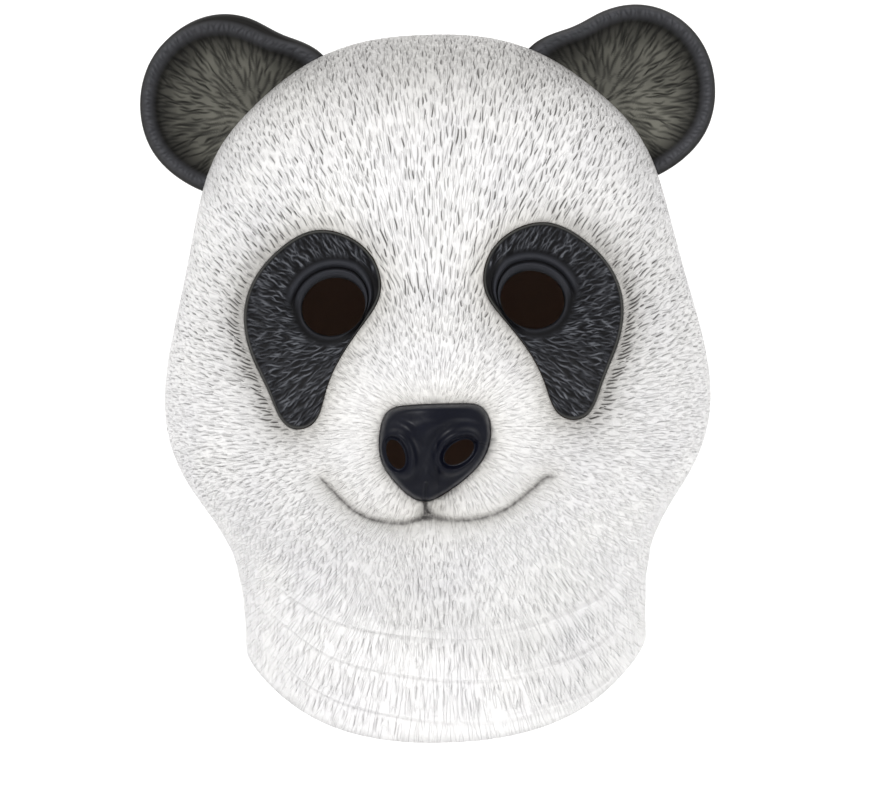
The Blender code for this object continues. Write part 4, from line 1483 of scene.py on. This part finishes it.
def patch_finish():
    """Blue-black paint, rubbed off to grey on the ridges and the bead, with a painted sheen on the ridges
    and a painted highlight on the lids.
    """
    made = Finish("rubbed_black_latex_with_painted_sheen", 0.5, Specular_IOR_Level=0.12)
    fur, lid, bead = made.paint()[:3]
    cloud = made.noise(60, 3)
    # Lighter on the ridges, darker between them: rubbed paint and painted sheen on top, painted shade
    # below.
    colour = made.mix(made.ramp(fur, 0.05, 0.5), (0.005, 0.005, 0.006), (0.019, 0.020, 0.024))
    rubbed_and_sheen = made.math("MULTIPLY", made.ramp(fur, 0.55, 0.95), made.ramp(cloud, 0.35, 0.65, 0.4, 1))
    colour = made.mix(rubbed_and_sheen, colour, (0.155, 0.163, 0.183))
    # Painted highlight: the raised lids are lighter and bluer than the rest of the patch.
    colour = made.mix(made.math("MULTIPLY", made.ramp(lid, 0.4, 1.15), 0.5), colour, (0.05, 0.053, 0.065))
    colour = made.mix(made.math("MULTIPLY", bead, 0.45), colour, (0.13, 0.13, 0.12))
    rough = made.ramp(cloud, 0.3, 0.7, 0.42, 0.56)
    return made.finish(colour, rough, made.bump(made.noise(700, 2), 0.3, 0.15 * MM))


patch_paint = patch_finish()
for word, side in (("left", 1), ("right", -1)):
    patch = eye_patch(word, side)
    patch.data.materials.append(patch_paint)
    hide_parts("eye_patch_" + word)
    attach(patch, "root")
    print(patch.name, len(patch.data.polygons), "faces")

# %% [markdown]
# The nose is a domed shell with a soft edge. Its nostrils are cut right through, and the dome
# rolls down into them, so the light runs smoothly over their rims.

# %% Nose
NOSE_SPOKES = 360
# Forms round a nostril: the roll down into it, the rim outside it and the valley beyond the rim.
NOSTRIL_ROLL = 2.2 * MM
ROLL_REACH = 2.2 * MM
NOSTRIL_RIM = 1.4 * MM
RIM_AWAY, RIM_REACH = 2.9 * MM, 2.6 * MM
NOSTRIL_VALLEY = 0.9 * MM
VALLEY_AWAY, VALLEY_REACH = 7.0 * MM, 3.2 * MM
# The slit from the left nostril to the nose's edge, and the groove under the tip.
SLIT = np.array([(14.0, -186.9), (18.5, -187.6), (22.6, -189.2)]) * MM
TIP_GROOVE = np.array([(-5.2, -204.0), (-5.7, -208.0), (-6.0, -212.0)]) * MM


def nostril(word, count=120):
    x, z, long, short, tilt = NOSTRILS[word]
    turn = np.arange(count) * 2 * math.pi / count
    return ellipse((x, z - NOSE_DOWN), long, short, math.radians(tilt), turn)


def nose_rise(size, spots):
    """How far the nose stands off the face, from the ring's size and the spots' places."""
    sizes, rises = np.array(NOSE_RINGS[::-1]).T
    rise = NOSE_RISE * spline(sizes, rises, size)
    x, z = spots.T
    for word in NOSTRILS:
        loop = nostril(word)
        away = distance_to(loop, x, z) * np.where(inside(loop, spots), -1, 1)
        rise = rise - NOSTRIL_ROLL * bell(np.clip(away / ROLL_REACH, 0, 1))
        rim = bell(np.abs(away - RIM_AWAY) / RIM_REACH) * smooth(1 - size, 0.05, 0.3)
        valley = bell(np.abs(away - VALLEY_AWAY) / VALLEY_REACH) * smooth(1 - size, 0.1, 0.35)
        rise = rise + NOSTRIL_RIM * rim - NOSTRIL_VALLEY * valley
    for line, width, deep in ((SLIT, 0.9 * MM, 1.0 * MM), (TIP_GROOVE, 1.3 * MM, 0.9 * MM)):
        rise = rise - deep * bell(distance_to(line, x, z, closed=False) / width)
    return rise


def build_nose():
    middle = np.array([0, -NOSE_DOWN])
    edge = nose_outline(NOSE_SPOKES)
    sizes = 1 - np.linspace(0, 1, 56) ** 1.15
    sizes[-1] = 0.004
    spots = np.concatenate([middle + (edge - middle) * size for size in sizes])
    spread = np.repeat(sizes, NOSE_SPOKES)
    outer = np.stack([spots[:, 0], face_y(*spots.T) - nose_rise(spread, spots), spots[:, 1]], axis=1)
    back_sizes = np.linspace(0.004, 1, 12)
    back = np.concatenate([middle + (edge - middle) * size for size in back_sizes])
    back_rise = nose_rise(np.repeat(back_sizes, NOSE_SPOKES), back)
    inner = np.stack([back[:, 0], inner_depth(*back.T) - back_rise, back[:, 1]], axis=1)
    points = np.concatenate([outer, inner])
    rows = len(sizes) + len(back_sizes)
    faces = grid_faces(rows, NOSE_SPOKES)
    outer_end = (len(sizes) - 1) * NOSE_SPOKES
    inner_start = len(sizes) * NOSE_SPOKES
    faces = [f for f in faces if not (f[0] >= outer_end and f[0] < inner_start)]
    faces.append(tuple(range(outer_end, outer_end + NOSE_SPOKES)))
    faces.append(tuple(range(inner_start, inner_start + NOSE_SPOKES)))
    last = len(points) - NOSE_SPOKES
    faces += [(i, (i + 1) % NOSE_SPOKES, last + (i + 1) % NOSE_SPOKES, last + i)
              for i in range(NOSE_SPOKES)]
    thing = add_mesh("domed_nose", points, faces)
    face_outwards(thing)
    return thing


def prism(name, outline, front, back):
    count = len(outline)
    points = [(x, y, z) for y in (front, back) for x, z in outline]
    faces = [(i, (i + 1) % count, count + (i + 1) % count, count + i) for i in range(count)]
    faces += [tuple(range(count)), tuple(range(count, 2 * count))]
    thing = add_mesh(name, points, faces, smooth=False)
    face_outwards(thing)
    return thing


def carve(thing, cutters):
    """Takes the cutters out of a piece for good, and removes them."""
    for cutter in cutters:
        step = thing.modifiers.new(cutter.name, "BOOLEAN")
        step.operation = "DIFFERENCE"
        step.solver = "MANIFOLD"
        step.object = cutter
    graph = bpy.context.evaluated_depsgraph_get()
    carved = bpy.data.meshes.new_from_object(thing.evaluated_get(graph))
    carved.materials.clear()
    thing.modifiers.clear()
    thing.data = carved
    for cutter in cutters:
        bpy.data.objects.remove(cutter)
    return thing


def nose_finish():
    """Satin blue-black, a little duller in the pores."""
    made = Finish("satin_nose_black", 0.32, Specular_IOR_Level=0.16)
    pores = made.noise(520, 3)
    colour = made.mix(made.noise(90, 3), (0.002, 0.0025, 0.006), (0.004, 0.005, 0.012))
    return made.finish(colour, made.ramp(pores, 0.3, 0.7, 0.30, 0.44),
                       made.bump(pores, 0.35, 0.2 * MM))


nose = build_nose()
deep = face_y(0, -NOSE_DOWN)
carve(nose, [prism("nostril_cutter_" + word, nostril(word), deep - 40 * MM, deep + 40 * MM)
             for word in NOSTRILS])
nose.data.materials.append(nose_finish())
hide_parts("nose")
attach(nose, "root")
print("nose:", len(nose.data.polygons), "faces")

# %% [markdown]
# Each ear is swept: one cut line from the middle of its cup, over the rim, to the middle of its
# back is carried round the ear's outline. The same line, inset by the wall, gives the hollow.
# Both are cut off where they meet the head, so the ear stands on the skin as a pouch. The right
# ear, on the mask's own right, reaches a little higher, as in the photograph.

# %% Ears
EAR_SPOKES = 460
EAR_LINE_POINTS = 150
HOLLOW_SPOKES = 120
HOLLOW_LINE_POINTS = 50
EAR_FUR_START = np.array([-15.0, -6.0]) * MM
EAR_ROLL = 1.7 * MM
EAR_VALLEY = 0.9 * MM
# Grooves of the ear's fur: spacing, length, width and depth.
EAR_FUR_SPACING = (6.5 * MM, 2.0 * MM)
EAR_FUR_LONG = 10 * MM
EAR_FUR_WIDE = 0.62 * MM
EAR_FUR_SINK = 0.75 * MM
# Short strokes across the rim: how many, length, width and depth.
RIM_STROKES = 120
RIM_STROKE_LONG = 5.5 * MM
RIM_STROKE_WIDE = 0.7 * MM
RIM_STROKE_SINK = 0.5 * MM
EAR_FRONT_SEED = 21
EAR_BACK_SEED = 22
# The reach whose dark paint covers the ear's whole back
BACK_SHADE = 0.79
# How much further the right ear reaches upwards, as a share of its radius
RIGHT_EAR_TALLER = 0.075


def ear_line(count):
    """The ear's cut line: reach and depth, and the direction out of it."""
    cut = np.array(EAR_CUT)
    corners = np.stack([cut[:, 0] * EAR_RADIUS, cut[:, 1] * EAR_CUP + cut[:, 2] * EAR_THICKNESS], axis=1)
    line = evenly(spline(running_length(corners), corners,
                         np.linspace(0, running_length(corners)[-1], 600)), count)
    tangent = np.gradient(line, axis=0)
    tangent[[0, -1], 1] = 0
    normal = np.stack([tangent[:, 1], -tangent[:, 0]], axis=1)
    return line, normal / np.linalg.norm(normal, axis=1, keepdims=True)


def ear_form(name, side, inset, count, spokes):
    """A closed ear, or its hollow with an inset, and the paint of the ear's points."""
    line, normal = ear_line(count)
    rim = int(np.argmax(line[:, 0]))
    turn = np.pi + np.arange(spokes) * 2 * math.pi / spokes
    line = line - normal * inset
    line[[0, -1], 0] = 0.1 * MM
    stretch = ear_reach(turn)
    if side < 0:
        stretch = stretch + RIGHT_EAR_TALLER * bell(np.abs(turn % (2 * math.pi) - 1.9) / 1.1)
    out = line[:, :1] * stretch
    x, z = out * np.cos(turn), out * np.sin(turn)
    deep = np.repeat(line[:, 1:], spokes, axis=1)
    grooves, reach = np.zeros(x.shape), np.zeros(x.shape)
    if not inset:
        lift, grooves, reach = ear_fur(x, z, rim)
        deep = deep + lift * normal[:, 1:]
    points = np.stack([side * (EAR_ACROSS + x), EAR_FRONT + deep + EAR_SWEEP * x, z - EAR_DOWN], axis=-1)
    thing = add_mesh(name, points.reshape(-1, 3), capped_faces(len(line), spokes))
    face_outwards(thing)
    return thing, points.reshape(-1, 3), grooves.ravel(), reach.ravel()


def ear_fur(x, z, rim):
    """Relief of the fur over the ear's front and back, its grooves, and the reach of each point."""
    lift, grooves, reaches = np.zeros(x.shape), np.zeros(x.shape), np.zeros(x.shape)
    for rows, seed in ((slice(0, rim + 1), EAR_FRONT_SEED), (slice(rim + 1, None), EAR_BACK_SEED)):
        spots = np.stack([x[rows].ravel(), z[rows].ravel()], axis=1)
        rng = np.random.default_rng(seed + 10)
        centres = strew_flat(spots.min(axis=0), spots.max(axis=0), EAR_FUR_SPACING, seed)
        across, rise = (centres - EAR_FUR_START).T
        lean = np.arctan2(rise, across) + rng.uniform(-0.22, 0.22, len(centres))
        cuts = ridges(spots, centres, lean, EAR_FUR_LONG, EAR_FUR_WIDE, seed)
        turn = np.arctan2(spots[:, 1], spots[:, 0])
        reach = np.hypot(*spots.T) / (EAR_RADIUS * ear_reach(turn))
        room = 1 - smooth(reach, 0.78, 0.86)
        around = np.linspace(-math.pi, math.pi, RIM_STROKES, endpoint=False)
        around = around + rng.uniform(-0.015, 0.015, RIM_STROKES)
        ring = 0.9 * EAR_RADIUS * ear_reach(around)
        beads = np.stack([ring * np.cos(around), ring * np.sin(around)], axis=1)
        lean = around + rng.uniform(-0.5, 0.5, RIM_STROKES)
        short = ridges(spots, beads, lean, RIM_STROKE_LONG, RIM_STROKE_WIDE, seed + 5)
        roll = bell(np.abs(reach - 0.90) / 0.085)
        valley = bell(np.abs(reach - 0.78) / 0.07)
        rise = EAR_ROLL * roll - EAR_VALLEY * valley - EAR_FUR_SINK * cuts * room
        rise = rise - RIM_STROKE_SINK * short * roll
        if seed == EAR_BACK_SEED:
            rise = -EAR_FUR_SINK * cuts * room
            reach = np.full(len(reach), BACK_SHADE)
            short = np.zeros(len(short))
        lift[rows] = rise.reshape(x[rows].shape)
        grooves[rows] = (cuts * room + 0.6 * short * roll).reshape(x[rows].shape)
        reaches[rows] = reach.reshape(x[rows].shape)
    return lift, grooves, reaches


def head_cutter():
    """The filled form of the head down to below the ears, a gap larger than the skin."""
    turn = np.linspace(-math.pi, math.pi, 240, endpoint=False)
    lengths = np.linspace(2 * MM, 230 * MM, 130)
    rows = []
    for length in lengths:
        spread = np.full(turn.shape, length)
        rows.append(skin_xyz(turn, spread) + skin_slopes(turn, spread)[2] * GAP)
    thing = add_mesh("head_cutter", np.concatenate(rows), capped_faces(len(rows), len(turn)))
    face_outwards(thing)
    return thing


def nearest_values(thing, points, *values):
    """Values for a mesh's points, each read from the nearest of the given points."""
    tree = KDTree(len(points))
    for i, point in enumerate(points):
        tree.insert(point, i)
    tree.balance()
    nearest = [tree.find(vertex.co)[1] for vertex in thing.data.vertices]
    return [value[nearest] for value in values]


def ear_finish():
    """Charcoal paint with an olive cast, with black in the grooves and round the rim, and a painted
    blue-grey highlight on the rim's roll.
    """
    made = Finish("rubbed_charcoal_latex", 0.5, Specular_IOR_Level=0.08)
    groove, reach = made.paint()[:2]
    cloud = made.noise(30, 3)
    inner = made.ramp(reach, 0.84, 0.55)
    light = made.math("MULTIPLY", inner, made.ramp(cloud, 0.32, 0.68, 0.35, 1.0))
    colour = made.mix(light, (0.012, 0.0115, 0.011), (0.175, 0.172, 0.146))
    # Painted highlight: the roll of the rim is lighter and blue-grey.
    rim = made.ramp(reach, 0.985, 0.90)
    rim = made.math("MULTIPLY", rim, made.ramp(reach, 0.80, 0.88))
    colour = made.mix(made.math("MULTIPLY", rim, 0.8), colour, (0.10, 0.102, 0.113))
    colour = made.mix(made.math("MULTIPLY", groove, 0.9), colour, (0.005, 0.005, 0.005))
    return made.finish(colour, made.ramp(cloud, 0.3, 0.7, 0.42, 0.58),
                       made.bump(made.noise(650, 2), 0.3, 0.15 * MM))


ear_paint = ear_finish()
for word, side in (("left", 1), ("right", -1)):
    ear, *drawn = ear_form("cupped_ear_" + word, side, 0, EAR_LINE_POINTS, EAR_SPOKES)
    hollow = ear_form("ear_hollow_cutter", side, WALL, HOLLOW_LINE_POINTS, HOLLOW_SPOKES)[0]
    carve(ear, [hollow, head_cutter()])
    grooves, reach = nearest_values(ear, *drawn)
    save_paint(ear, grooves, reach, np.zeros(len(reach)))
    ear.data.materials.append(ear_paint)
    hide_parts("ear_" + word)
    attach(ear, "root")
    ear.data.calc_loop_triangles()
    print(ear.name, len(ear.data.loop_triangles), "triangles")
